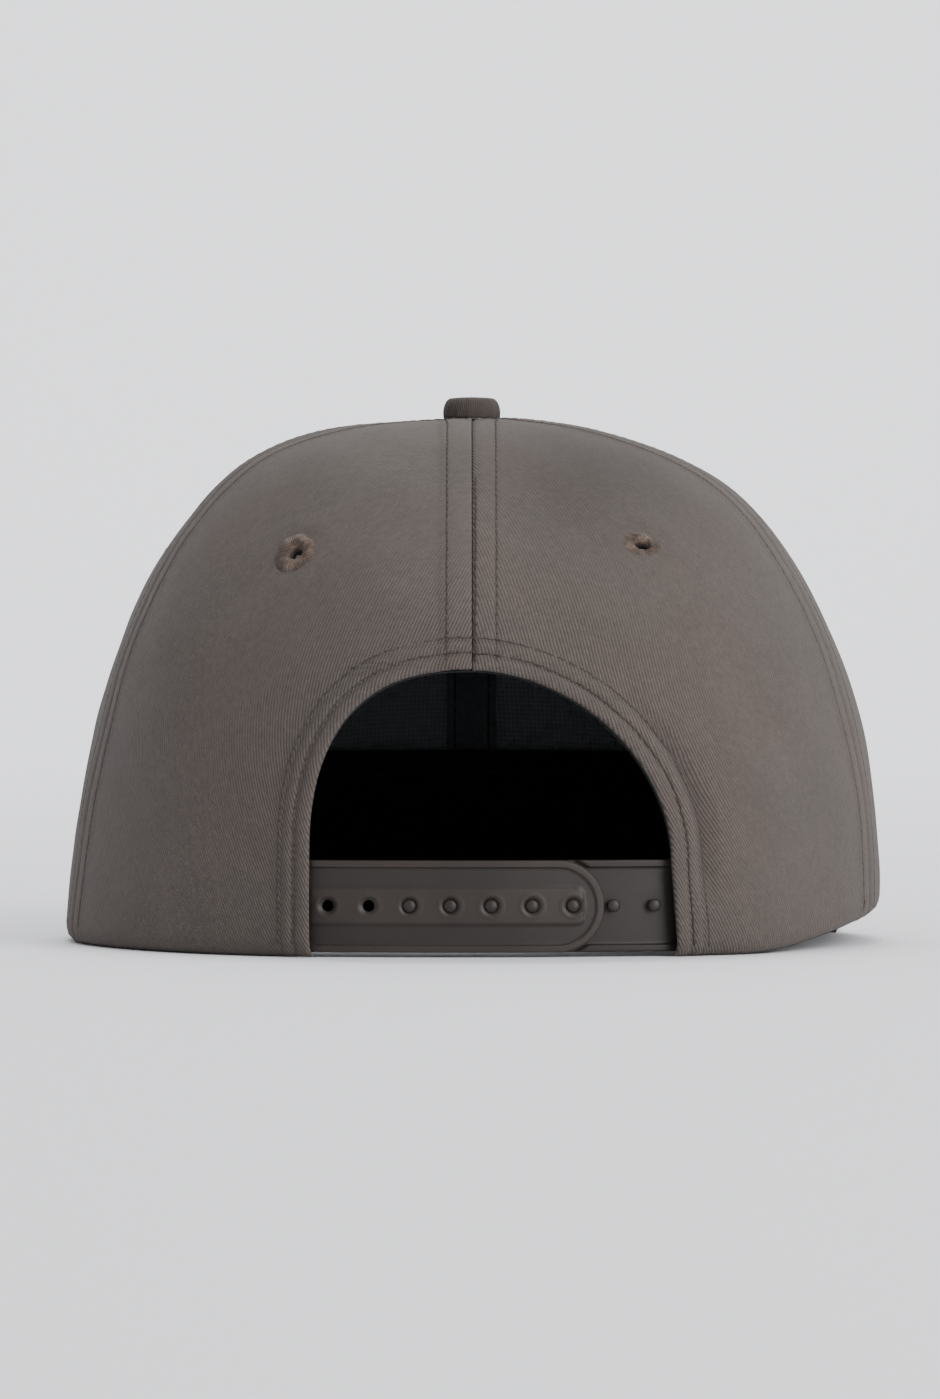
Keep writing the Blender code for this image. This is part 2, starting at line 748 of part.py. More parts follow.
def female_half(arc, anchor):
    """The half with the holes, a raised rim and a raised rib along its middle."""
    name = "female_strap_half"
    low = GAP / 2
    high = low + STRAP_PLATE
    relief = (high - GAP, high + STRAP_RAISED)
    start = anchor.x + HINGE_CLEARANCE
    tip = FEMALE_TIP_X
    body = add_part(name, plate_mesh(name, strap_outline(start, tip), low, high), "strap")
    rim_start = start + RELIEF_START
    rim = strap_outline(rim_start, tip, RELIEF_STEP) + strap_outline(rim_start, tip, STRAP_RIM)[::-1]
    boolean(body, add_cutter("strap_rim", plate_mesh("strap_rim", rim, *relief)), "UNION")
    rib_low = (STRAP_WIDTH - STRAP_RIB_WIDTH) / 2
    rib_high = rib_low + STRAP_RIB_WIDTH
    rib_end = tip - RIB_TO_TIP
    rib = [(rim_start, rib_low), (rib_end, rib_low), (rib_end, rib_high), (rim_start, rib_high)]
    boolean(body, add_cutter("strap_rib", plate_mesh("strap_rib", rib, *relief)), "UNION")
    first = tip - TIP_TO_SNAP - SNAP_PITCH * (SNAP_COUNT - 1)
    above = high + 2 * STRAP_RAISED
    boolean(body, snap_row("strap_holes", first, low - GAP, above, HOLE_RADIUS, HOLE_RADIUS))
    finish_strap(body, arc)


def male_half(arc, anchor):
    """The half with the pegs, which lies on the inside of the female half."""
    name = "male_strap_half"
    high = -GAP / 2
    first = FEMALE_TIP_X - TIP_TO_SNAP - SNAP_PITCH * (SNAPS_JOINED - 1)
    outline = strap_outline(anchor.x - HINGE_CLEARANCE, first - TIP_TO_SNAP)
    body = add_part(name, plate_mesh(name, outline, high - STRAP_PLATE, high), "strap")
    head = STRAP_PLATE + STRAP_RAISED + GAP / 2 + PEG_PROUD
    tip = PEG_TIP_SHARE * PEG_RADIUS
    boolean(body, snap_row("strap_pegs", first, high - GAP, head, PEG_RADIUS, tip), "UNION")
    finish_strap(body, arc)


def strap_tab(name, right, anchor):
    """The end of a strap half that is sewn in between the rear panel and the sweatband."""
    heading = 1 if right else -1
    start = anchor.x + heading * HINGE_CLEARANCE

    def place(across, along):
        x = start + heading * TAB_LENGTH * across
        height = STRAP_LOW + STRAP_WIDTH * along
        return rear_point(x, max(height, hem_height(math.pi)), STRAP_DEPTH)

    sheet(name, 4, 3, place, TAB, "strap")


def snap_strap():
    arc = strap_arc()
    left = strap_anchor(False)
    right = strap_anchor(True)
    female_half(arc, left)
    male_half(arc, right)
    strap_tab("female_strap_tab", False, left)
    strap_tab("male_strap_tab", True, right)


def main():
    clear_scene()
    collection("baseball_cap")
    collection("cutters")
    crown_panels()
    buckram("left_buckram", -FRONT_SEAM, 0.0)
    buckram("right_buckram", 0.0, FRONT_SEAM)
    seam_tapes()
    arch_binding()
    sweatband()
    visor()
    button()
    snap_strap()


main()
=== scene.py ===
"""The looks of a six-panel snapback cap, built round its CAD model.

Metres, +Z up, +Y over the visor, +X to the wearer's right. A "turn" is an angle round the
crown from its front, and a "climb" runs from 0 at the hem to 1 at the crown's top, as in the
CAD model.
"""

import json
import math

import bmesh
import bpy
import numpy as np
from mathutils import Matrix, Vector
from mathutils.bvhtree import BVHTree


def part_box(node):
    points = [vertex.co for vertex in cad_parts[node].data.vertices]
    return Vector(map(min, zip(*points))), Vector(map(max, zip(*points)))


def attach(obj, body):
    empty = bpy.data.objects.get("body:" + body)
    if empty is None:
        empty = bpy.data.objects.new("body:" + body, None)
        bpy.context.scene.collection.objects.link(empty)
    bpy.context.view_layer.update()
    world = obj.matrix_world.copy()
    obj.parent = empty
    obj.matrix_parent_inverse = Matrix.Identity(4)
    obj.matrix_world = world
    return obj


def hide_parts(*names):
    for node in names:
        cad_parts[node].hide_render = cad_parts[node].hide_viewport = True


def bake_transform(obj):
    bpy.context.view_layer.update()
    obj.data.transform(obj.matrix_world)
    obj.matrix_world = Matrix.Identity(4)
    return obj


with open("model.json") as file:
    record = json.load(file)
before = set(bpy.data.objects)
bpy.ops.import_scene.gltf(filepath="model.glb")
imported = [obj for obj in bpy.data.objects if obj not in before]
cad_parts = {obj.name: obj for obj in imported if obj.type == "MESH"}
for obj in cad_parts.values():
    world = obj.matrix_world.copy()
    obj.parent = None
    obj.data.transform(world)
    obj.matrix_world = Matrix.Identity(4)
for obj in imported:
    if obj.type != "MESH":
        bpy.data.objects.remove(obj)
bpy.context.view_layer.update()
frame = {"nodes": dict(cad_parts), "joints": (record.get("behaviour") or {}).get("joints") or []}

MM = 0.001
GAP = 0.3 * MM

# ---- The crown's shape, as the CAD model has it ----
HALF_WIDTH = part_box("side_right_panel")[1][0]
HALF_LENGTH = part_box("front_right_panel")[1][1]
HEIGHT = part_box("button_cover")[0][2] - GAP
MERIDIANS = {
    "front": (3.00, 3.20, 0.00),
    "right": (2.35, 2.60, 0.00),
    "rear": (2.00, 2.20, 0.00),
    "left": (2.25, 2.80, 0.12),
}
FRONT_SEAM = math.radians(57)
REAR_SEAM_RIGHT = math.radians(107)
REAR_SEAM_LEFT = math.radians(106)
HEM_FALL_RIGHT = (math.radians(104), math.radians(142))
HEM_FALL_LEFT = (math.radians(77), math.radians(96))
HEM_LOWEST = 0.2 * MM
VISOR_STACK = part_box("visor_upper_cover")[1][2]
TOP_RING = 2.4 * MM

ARCH_TOP = 63.0 * MM
ARCH_SPRING = 21.0 * MM
ARCH_LEFT = 35.7 * MM
ARCH_RIGHT = 43.6 * MM
ARCH_RIGHT_SPLAY = 1.6 * MM
ARCH_LEFT_POWER = 2.5
ARCH_RIGHT_POWER = 1.88
ARCH_UPRIGHT_SHARE = 0.25

# ---- Cloth and sewing ----
CLOTH = 0.9 * MM
SEAM_ROW = 5.5 * MM  # topstitching beside each crown seam
ARCH_ROWS = (3.5 * MM, 6.8 * MM)
ARCH_ROW_DEPTH = 0.50 * MM
FOOT_BULGE = 2.0 * MM  # fuller cloth beyond the arch's right foot
FOLD_AT = 9.0 * MM  # and the fold beside it
FOLD_DEPTH = 1.30 * MM
FOLD_WIDTH = 1.6 * MM
SIDE_LIFT = 2.4 * MM
SIDE_LIFT_FROM = math.radians(78)
SIDE_LIFT_OVER = math.radians(14)
SIDE_FALL_FROM = math.radians(94)
SIDE_FALL_OVER = math.radians(48)
STITCH = 2.45 * MM
TWILL_PITCH = 0.75 * MM
TWILL_FADE = 0.84  # how much of the ribs is lost away from the arch
LEAN_LOW = math.radians(28)  # lean of the twill's ribs off the warp by the hem
LEAN_HIGH = math.radians(-4)  # and over the upper crown


# ---- The crown's surface, for arrays of turns and climbs ----
def ease(share):
    share = np.clip(share, 0.0, 1.0)
    return share * share * (3 - 2 * share)


def wrapped(turn):
    """The same turn, between half a round to the left and half a round to the right."""
    return (np.asarray(turn, float) + math.pi) % (2 * math.pi) - math.pi


def lengths_along(points):
    """The length of a line from its start to each of its points."""
    return np.concatenate([[0], np.cumsum(np.linalg.norm(np.diff(points, axis=0), axis=1))])


def hem_radius(turn):
    return 1 / np.hypot(np.sin(turn) / HALF_WIDTH, np.cos(turn) / HALF_LENGTH)


def hem_height(turn):
    turn = wrapped(turn)
    right = (turn - HEM_FALL_RIGHT[0]) / (HEM_FALL_RIGHT[1] - HEM_FALL_RIGHT[0])
    left = (-turn - HEM_FALL_LEFT[0]) / (HEM_FALL_LEFT[1] - HEM_FALL_LEFT[0])
    return HEM_LOWEST + VISOR_STACK * (1 - ease(np.where(turn > 0, right, left)))


def meridian(turn):
    forward = np.cos(turn)
    rightward = np.sin(turn)
    numbers = []
    for k in range(3):
        first = np.where(forward > 0, MERIDIANS["front"][k], MERIDIANS["rear"][k])
        second = np.where(rightward > 0, MERIDIANS["right"][k], MERIDIANS["left"][k])
        numbers.append(forward**2 * first + rightward**2 * second)
    return numbers


def crown_face(turn, climb):
    turn, climb = np.broadcast_arrays(np.asarray(turn, float), np.asarray(climb, float))
    height_power, radius_power, pinch = meridian(turn)
    angle = climb * math.pi / 2
    rise = np.sin(angle) ** (2 / height_power)
    narrowing = np.clip(np.cos(angle), 0, None) ** (2 / radius_power) * (1 - pinch * rise * (1 - rise))
    radius = hem_radius(turn) * narrowing
    hem = hem_height(turn)
    return np.stack([radius * np.sin(turn), radius * np.cos(turn), hem + (HEIGHT - hem) * rise], -1)


def crown_normal(turn, climb):
    step = 0.002
    climb = np.clip(climb, 0.01, 0.985)
    upward = crown_face(turn, climb + step) - crown_face(turn, climb - step)
    sideways = crown_face(turn - step, climb) - crown_face(turn + step, climb)
    normal = np.cross(sideways, upward)
    return normal / np.linalg.norm(normal, axis=-1, keepdims=True)


def crown_point(turn, climb, depth=0.0):
    return crown_face(turn, climb) - np.asarray(depth)[..., None] * crown_normal(turn, climb)


def solve(value_at, target, low, high, rising):
    """Where a steadily changing value reaches the target, for whole arrays."""
    target = np.asarray(target, float)
    low = np.zeros_like(target) + low
    high = np.zeros_like(target) + high
    for _ in range(30):
        middle = (low + high) / 2
        below = (value_at(middle) < target) == rising
        low = np.where(below, middle, low)
        high = np.where(below, high, middle)
    return (low + high) / 2


def climb_at_height(turn, height):
    turn, height = np.broadcast_arrays(np.asarray(turn, float), np.asarray(height, float))
    return solve(lambda climb: crown_face(turn, climb)[..., 2], height, 0.0, 1.0, True)


def radius_at(turn, climb):
    return np.linalg.norm(crown_face(turn, climb)[..., :2], axis=-1)


def climb_at_radius(turn, radius):
    turn, radius = np.broadcast_arrays(np.asarray(turn, float), np.asarray(radius, float))
    return solve(lambda climb: radius_at(turn, climb), radius, 0.0, 1.0, False)


def rear_place(x, height, depth=0.0):
    """The turn and climb where the rear face, taken in by a depth, has this x and height."""
    x, height = np.broadcast_arrays(np.asarray(x, float), np.asarray(height, float))

    def x_at(turn):
        return crown_point(turn, climb_at_height(turn, height), depth)[..., 0]

    turn = solve(x_at, x, REAR_SEAM_RIGHT, 2 * math.pi - REAR_SEAM_LEFT, False)
    return turn, climb_at_height(turn, height)


def rear_point(x, height, depth=0.0):
    return crown_point(*rear_place(x, height, depth), depth)


def arch_side(share, right):
    """(x, height) on one side of the arch, from 0 at the table to 1 at the arch's top."""
    share = np.asarray(share, float)
    half = ARCH_RIGHT if right else ARCH_LEFT
    power = ARCH_RIGHT_POWER if right else ARCH_LEFT_POWER
    splay = ARCH_RIGHT_SPLAY if right else 0.0
    upright = share / ARCH_UPRIGHT_SHARE
    angle = np.clip((share - ARCH_UPRIGHT_SHARE) / (1 - ARCH_UPRIGHT_SHARE), 0, 1) * math.pi / 2
    arc_x = half * np.clip(np.cos(angle), 0, None) ** (2 / power)
    arc_z = ARCH_SPRING + (ARCH_TOP - ARCH_SPRING) * np.sin(angle) ** (2 / power)
    x = np.where(upright < 1, half + splay * (1 - upright), arc_x)
    height = np.where(upright < 1, ARCH_SPRING * upright, arc_z)
    return (x if right else -x), height


def arch_edge(share):
    """(x, height) along the whole arch: 0 at its left foot, 0.5 at its top, 1 at its right foot."""
    share = np.asarray(share, float)
    left = arch_side(np.clip(2 * share, 0, 1), False)
    right = arch_side(np.clip(2 - 2 * share, 0, 1), True)
    return np.where(share <= 0.5, left[0], right[0]), np.where(share <= 0.5, left[1], right[1])


def even_arch_shares(count):
    """Shares that lie evenly along the arch's length."""
    fine = np.linspace(0, 1, 800)
    x, height = arch_edge(fine)
    length = np.concatenate([[0], np.cumsum(np.hypot(np.diff(x), np.diff(height)))])
    return np.interp(np.linspace(0, length[-1], count), length, fine)


def arch_line():
    """The arch's edge on the crown's face, as many points."""
    x, height = arch_edge(even_arch_shares(300))
    return rear_point(x, np.maximum(height, HEM_LOWEST))


ARCH_LINE = arch_line()


def climb_lengths(turn):
    """Climbs and the length of cloth from the hem up to each, along one meridian."""
    climbs = np.linspace(0, 1, 400)
    return climbs, lengths_along(crown_face(turn, climbs))


def even_climbs(turn, low, high, count):
    climbs, length = climb_lengths(turn)
    start, end = np.interp([low, high], climbs, length)
    return np.interp(np.linspace(start, end, count), length, climbs)


# ---- Relief of the sewn cloth ----
def groove(distance, at, depth, width=0.5 * MM):
    return -depth * np.exp(-(((distance - at) / width) ** 2))


def rolled_edge(distance, radius):
    """How far cloth that is folded to a round edge turns in, this far from the edge."""
    reach = np.clip((radius - distance) / radius, 0, 1)
    return -radius * (1 - np.sqrt(1 - reach**2))


def softness(points, scale=1.0):
    """Broad, shallow unevenness that a sewn cotton crown has."""
    x, y, z = points[..., 0], points[..., 1], points[..., 2]
    waves = 0.30 * np.sin(61 * x + 23 * z + 1.1) * np.sin(47 * z - 31 * y + 0.4)
    waves += 0.22 * np.sin(103 * x - 71 * y + 39 * z + 2.3)
    waves += 0.14 * np.sin(171 * z + 90 * x + 0.7) * np.sin(120 * y + 60 * x)
    waves += 0.06 * np.sin(330 * x + 210 * z) * np.sin(290 * y - 250 * z + 1.9)
    return waves * MM * scale + shoulders(x, z)


def shoulders(x, z):
    """The crown stands a little fuller at its upper corners."""
    left = 1.35 * MM * np.exp(-(((x + 47 * MM) / (21 * MM)) ** 2) - ((z - 113 * MM) / (17 * MM)) ** 2)
    right = 1.15 * MM * np.exp(-(((x - 59 * MM) / (17 * MM)) ** 2) - ((z - 102 * MM) / (17 * MM)) ** 2)
    return left + right


def rib_drift(along):
    """How far the twill's ribs have wandered sideways from the warp, this far up the cloth."""
    lengths = np.linspace(0, 0.25, 500)
    lean = LEAN_LOW + (LEAN_HIGH - LEAN_LOW) * ease((lengths - 25 * MM) / (50 * MM))
    drift = np.concatenate([[0], np.cumsum(np.tan(lean[1:]) * np.diff(lengths))])
    return np.interp(along, lengths, drift)


def rear_painted_light_and_shade(x, z):
    """How much lighter or darker the cloth is painted across the rear of the crown: painted shade at the
    upper right, painted light just left of the centre seam, and painted shade in a crease on the left panel.
    """
    darker = 0.34 * np.exp(-(((x - 24 * MM) / (27 * MM)) ** 2) - ((z - 109 * MM) / (16 * MM)) ** 2)
    lighter = 0.16 * np.exp(-(((x + 3 * MM) / (19 * MM)) ** 2) - ((z - 92 * MM) / (24 * MM)) ** 2)
    painted_crease_shade = 0.08 * np.exp(-(((x + 37 * MM) / (6 * MM)) ** 2) - ((z - 107 * MM) / (10 * MM)) ** 2)
    return 1 + lighter - darker - painted_crease_shade


def seam_relief(distance, lift, depth):
    """The doubled cloth beside a crown seam, the valley of the seam, and the sunk row of stitches."""
    raised = (lift + 0.1 * MM) * (1 - ease((distance - 5.7 * MM) / (1.9 * MM)))
    valley = groove(distance, 0.0, 0.5 * MM - 0.6 * lift, 1.0 * MM)
    return raised + groove(distance, SEAM_ROW, depth, 0.6 * MM) + valley + rolled_edge(distance, 0.45 * MM)


def right_of_arch(points):
    return ease((points[..., 0] - 20 * MM) / (20 * MM))


def beyond_right_foot(points):
    return right_of_arch(points) * (1 - ease((points[..., 2] - 34 * MM) / (26 * MM)))


def crease(points):
    """Where the cloth is folded in beside the arch's right foot."""
    height = points[..., 2]
    rising = ease((height - 8 * MM) / (14 * MM))
    return right_of_arch(points) * rising * (1 - ease((height - 44 * MM) / (16 * MM)))


def arch_relief(distance, points):
    """The folded and twice-stitched edge of the rear arch, and the fuller cloth beyond its right foot."""
    right_foot = beyond_right_foot(points)
    raised = (0.50 * MM + 0.25 * MM * right_foot) * (1 - ease((distance - 6.9 * MM) / (1.8 * MM)))
    full = ease((distance - 4 * MM) / (14 * MM)) * (1 - ease((distance - 19 * MM) / (26 * MM)))
    raised = raised + FOOT_BULGE * right_foot * full
    raised = raised + groove(distance, FOLD_AT, FOLD_DEPTH, FOLD_WIDTH) * crease(points)
    puff = 0.22 * MM * np.sin(np.clip(distance / ARCH_ROWS[0], 0, 1) * math.pi)
    between = np.clip((distance - ARCH_ROWS[0]) / (ARCH_ROWS[1] - ARCH_ROWS[0]), 0, 1)
    puff = puff + 0.18 * MM * np.sin(between * math.pi)
    rows = sum(groove(distance, row, ARCH_ROW_DEPTH, 0.6 * MM) for row in ARCH_ROWS)
    return raised + puff + rows + rolled_edge(distance, 0.8 * MM)


def hem_relief(distance):
    return -1.5 * MM * np.clip(1 - distance / (4.5 * MM), 0, 1) ** 2 + rolled_edge(distance, 0.7 * MM)


def side_lift(turn):
    """How much higher the hem rides over the wearer's right temple."""
    turn = wrapped(turn)
    rising = ease((turn - SIDE_LIFT_FROM) / SIDE_LIFT_OVER)
    return SIDE_LIFT * rising * (1 - ease((turn - SIDE_FALL_FROM) / SIDE_FALL_OVER))


def eyelet_relief(points, centres):
    """The small pucker that the worked ring pulls into the cloth round it."""
    relief = np.zeros(points.shape[:-1])
    for centre in centres:
        away = np.linalg.norm(points - np.array(centre), axis=-1)
        relief += -0.5 * MM * np.exp(-((away / (5.2 * MM)) ** 2))
        relief += 0.18 * MM * np.exp(-(((away - 8 * MM) / (2.4 * MM)) ** 2))
    return relief


# ---- Making meshes ----
def new_object(name, vertices, faces, smooth=True):
    mesh = bpy.data.meshes.new(name)
    mesh.from_pydata([tuple(v) for v in np.asarray(vertices, float).reshape(-1, 3)], [], faces)
    mesh.update()
    if smooth:
        mesh.shade_smooth()
    obj = bpy.data.objects.new(name, mesh)
    bpy.context.scene.collection.objects.link(obj)
    return obj


def grid_faces(rows, columns, closed=False):
    faces = []
    span = columns if closed else columns - 1
    for j in range(rows - 1):
        for i in range(span):
            k = (i + 1) % columns
            faces.append((j * columns + i, j * columns + k, (j + 1) * columns + k, (j + 1) * columns + i))
    return faces


def grid_object(name, points, weave=None, closed=False, tone=None):
    """A sheet from an array of rows of points.

    weave holds each point's place on the flat cloth, in metres.
    """
    rows, columns = points.shape[:2]
    obj = new_object(name, points, grid_faces(rows, columns, closed))
    if weave is not None:
        place = np.full((rows * columns, 3), 0.1, np.float32)
        place[:, :weave.shape[-1]] = weave.reshape(rows * columns, -1)
        attribute = obj.data.attributes.new("weave", "FLOAT_VECTOR", "POINT")
        attribute.data.foreach_set("vector", place.ravel())
        # tone is a colour factor for each point; on the rear panels it carries painted shade and painted
        # light, elsewhere it is 1.
        tone = np.ones(rows * columns, np.float32) if tone is None else tone.astype(np.float32).ravel()
        obj.data.attributes.new("tone", "FLOAT", "POINT").data.foreach_set("value", tone)
    return obj


def thicken(obj, thickness, offset=-1.0):
    shell = obj.modifiers.new("thickness", "SOLIDIFY")
    shell.thickness = thickness
    shell.offset = offset
    shell.use_even_offset = False


def applied(obj):
    """Applies the object's modifiers to its mesh."""
    graph = bpy.context.evaluated_depsgraph_get()
    mesh = bpy.data.meshes.new_from_object(obj.evaluated_get(graph))
    obj.modifiers.clear()
    obj.data = mesh
    return obj


def joined(name, parts):
    """One object from a list of (vertices, faces)."""
    vertices = []
    faces = []
    base = 0
    for points, polygons in parts:
        vertices.append(points)
        faces += [tuple(base + k for k in polygon) for polygon in polygons]
        base += len(points)
    return new_object(name, np.concatenate(vertices), faces)


def capsule(length, width, height, sides=8, rings=6):
    """A stitch of thread lying along X, with its flattened cross-section in Y and Z."""
    points = [(-length / 2, 0, -0.3 * height)]
    for ring in range(1, rings):
        angle = math.pi * ring / rings
        swell = math.sin(angle) ** 0.55
        x = -length / 2 * math.cos(angle)
        sink = -0.3 * height * (1 - swell)
        for side in range(sides):
            turn = 2 * math.pi * side / sides
            points.append((x, width / 2 * swell * math.cos(turn), height / 2 * swell * math.sin(turn) + sink))
    points.append((length / 2, 0, -0.3 * height))
    faces = []
    for side in range(sides):
        after = (side + 1) % sides
        faces.append((0, 1 + after, 1 + side))
        for ring in range(rings - 2):
            a = 1 + ring * sides
            faces.append((a + side, a + after, a + sides + after, a + sides + side))
        last = 1 + (rings - 2) * sides
        faces.append((last + side, last + after, len(points) - 1))
    return np.array(points), faces


def resample(points, pitch):
    """Points a pitch apart along a line, with their headings."""
    length = lengths_along(points)
    count = max(2, int(length[-1] / pitch))
    at = (np.arange(count) + 0.5) * length[-1] / count
    places = np.stack([np.interp(at, length, points[:, k]) for k in range(3)], -1)
    ahead = np.stack([np.interp(at + pitch / 4, length, points[:, k]) for k in range(3)], -1)
    behind = np.stack([np.interp(at - pitch / 4, length, points[:, k]) for k in range(3)], -1)
    heading = ahead - behind
    return places, heading / np.linalg.norm(heading, axis=1, keepdims=True), length[-1] / count


def stitch_rows(name, lines, surface, outward_at, pitch=STITCH, width=0.55 * MM, proud=0.02 * MM):
    """Topstitching along the lines: thread stitches, and dark capsules of painted shade for the needle holes
    between them.
    """
    thread_parts = []
    needle_shade_parts = []
    needle_shade_points, needle_shade_faces = capsule(0.85 * MM, 0.42 * MM, 0.20 * MM, 8, 4)
    for line in lines:
        places, headings, step = resample(line, pitch)
        points, faces = capsule(0.80 * step, width, 0.36 * MM)
        for k, (place, heading) in enumerate(zip(places, headings)):
            outward = outward_at(place)
            place, outward = rest_on(surface, place, outward)
            along = heading - outward * heading.dot(outward)
            along /= np.linalg.norm(along)
            across = np.cross(outward, along)
            wander = 0.05 * MM * math.sin(5.1 * k) * across
            basis = np.stack([along, across, outward])
            thread_parts.append((place + wander + proud * outward + points @ basis, faces))
            # Each needle hole is a flat dark capsule on the cloth: painted shade for the hole.
            hole = place + step / 2 * along + wander + 0.02 * MM * outward
            needle_shade_parts.append((hole + needle_shade_points @ basis, needle_shade_faces))
    threads = joined(name, thread_parts)
    holes = joined(name + "_needle_hole_shades", needle_shade_parts)
    paint(threads, "shaded_topstitch_thread")
    paint(holes, "needle_hole_shade")
    return threads, holes


def rest_on(surface, place, outward):
    """Moves a place onto a surface along its outward direction."""
    start = Vector(place + outward * 4 * MM)
    hit, normal, _, _ = surface.ray_cast(start, Vector(-outward), 9 * MM)
    if hit is None:
        return place, outward
    return np.array(hit), np.array(normal)


def surface_copy(obj):
    """The vertices and faces of a piece before it is thickened, to lay stitches on."""
    return [v.co.copy() for v in obj.data.vertices], [tuple(f.vertices) for f in obj.data.polygons]


def surface_tree(copies):
    """A tree of copied surfaces, for finding places on them."""
    vertices = []
    faces = []
    for points, polygons in copies:
        base = len(vertices)
        vertices += points
        faces += [tuple(base + k for k in polygon) for polygon in polygons]
    return BVHTree.FromPolygons(vertices, faces)


def stands_for(obj, node):
    """Makes the object the crown's piece in place of one CAD node."""
    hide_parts(node)
    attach(obj, "crown")


def sew_on(pieces):
    for piece in pieces:
        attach(piece, "crown")


# ---- Materials ----
MATERIALS = {}


def paint(obj, name):
    obj.data.materials.clear()
    obj.data.materials.append(MATERIALS[name])


class Nodes:
    """Short calls for building a material's nodes."""

    def __init__(self, name, roughness, metallic=0.0, **settings):
        self.material = bpy.data.materials.new(name)
        self.material.use_nodes = True
        self.tree = self.material.node_tree
        self.shader = self.tree.nodes["Principled BSDF"]
        self.shader.inputs["Roughness"].default_value = roughness
        self.shader.inputs["Metallic"].default_value = metallic
        for key, value in settings.items():
            self.shader.inputs[key.replace("_", " ")].default_value = value
        MATERIALS[name] = self.material

    def node(self, kind, **settings):
        made = self.tree.nodes.new(kind)
        for key, value in settings.items():
            setattr(made, key, value)
        return made

    def link(self, source, target):
        self.tree.links.new(source, target)

    def put(self, socket, value):
        if isinstance(value, bpy.types.NodeSocket):
            self.link(value, socket)
        else:
            socket.default_value = value

    def math(self, operation, a, b=0.0, c=0.0):
        made = self.node("ShaderNodeMath", operation=operation)
        self.put(made.inputs[0], a)
        self.put(made.inputs[1], b)
        self.put(made.inputs[2], c)
        return made.outputs[0]

    def cloth_place(self):
        """The place on the flat cloth: the vector, its two lengths, and the distance to the arch."""
        attribute = self.node("ShaderNodeAttribute", attribute_name="weave")
        split = self.node("ShaderNodeSeparateXYZ")
        self.link(attribute.outputs["Vector"], split.inputs[0])
        return attribute.outputs["Vector"], split.outputs[0], split.outputs[1], split.outputs[2]

    def object_place(self):
        return self.node("ShaderNodeTexCoord").outputs["Object"]

    def noise(self, vector, scale, detail=3.0, roughness=0.5, distortion=0.0):
        made = self.node("ShaderNodeTexNoise")
        self.link(vector, made.inputs["Vector"])
        made.inputs["Scale"].default_value = scale
        made.inputs["Detail"].default_value = detail
        made.inputs["Roughness"].default_value = roughness
        made.inputs["Distortion"].default_value = distortion
        return made.outputs["Fac"]

    def ramp(self, value, *stops):
        made = self.node("ShaderNodeValToRGB")
        self.link(value, made.inputs[0])
        points = made.color_ramp.elements
        while len(points) < len(stops):
            points.new(0.5)
        for point, (position, colour) in zip(points, stops):
            point.position = position
            point.color = (*colour, 1) if len(colour) == 3 else colour
        return made.outputs[0]

    def mix(self, factor, a, b, blend="MIX"):
        made = self.node("ShaderNodeMix", data_type="RGBA", blend_type=blend)
        self.put(made.inputs["Factor"], factor)
        self.put(made.inputs["A"], a)
        self.put(made.inputs["B"], b)
        return made.outputs["Result"]

    def colour(self, value):
        self.link(value, self.shader.inputs["Base Color"])

    def bump(self, height, strength, distance):
        made = self.node("ShaderNodeBump")
        made.inputs["Strength"].default_value = strength
        made.inputs["Distance"].default_value = distance
        self.link(height, made.inputs["Height"])
        self.link(made.outputs[0], self.shader.inputs["Normal"])

    def twill(self, pitch, lean):
        """Diagonal ribs of a twill weave, from 0 in the valleys to 1 on the ribs, with each yarn's float."""
        vector, across, along, beside_arch = self.cloth_place()
        wander = self.noise(vector, 260.0, 2.0)
        lean_x = self.math("MULTIPLY", across, 2 * math.pi * math.cos(lean) / pitch)
        lean_y = self.math("MULTIPLY", along, 2 * math.pi * math.sin(lean) / pitch)
        phase = self.math("ADD", lean_x, lean_y)
        phase = self.math("ADD", phase, self.math("MULTIPLY", wander, 3.2))
        rib = self.math("MULTIPLY_ADD", self.math("SINE", phase), 0.5, 0.5)
        yarn = self.math("MULTIPLY", along, 2 * math.pi / (0.62 * pitch))
        yarn = self.math("ADD", yarn, self.math("MULTIPLY", phase, 0.5))
        yarn = self.math("MULTIPLY_ADD", self.math("SINE", yarn), 0.5, 0.5)
        weave = self.math("MULTIPLY_ADD", yarn, 0.30, self.math("MULTIPLY", rib, 0.70))
        worn = self.math("SUBTRACT", self.math("MULTIPLY", beside_arch, 1 / (30 * MM)), 0.3)
        worn = self.math("MINIMUM", self.math("MAXIMUM", worn, 0.0), 1.0)
        crisp = self.math("SUBTRACT", 1.0, self.math("MULTIPLY", worn, TWILL_FADE))
        return weave, vector, crisp


def scaled(colour, factor):
    return tuple(channel * factor for channel in colour)


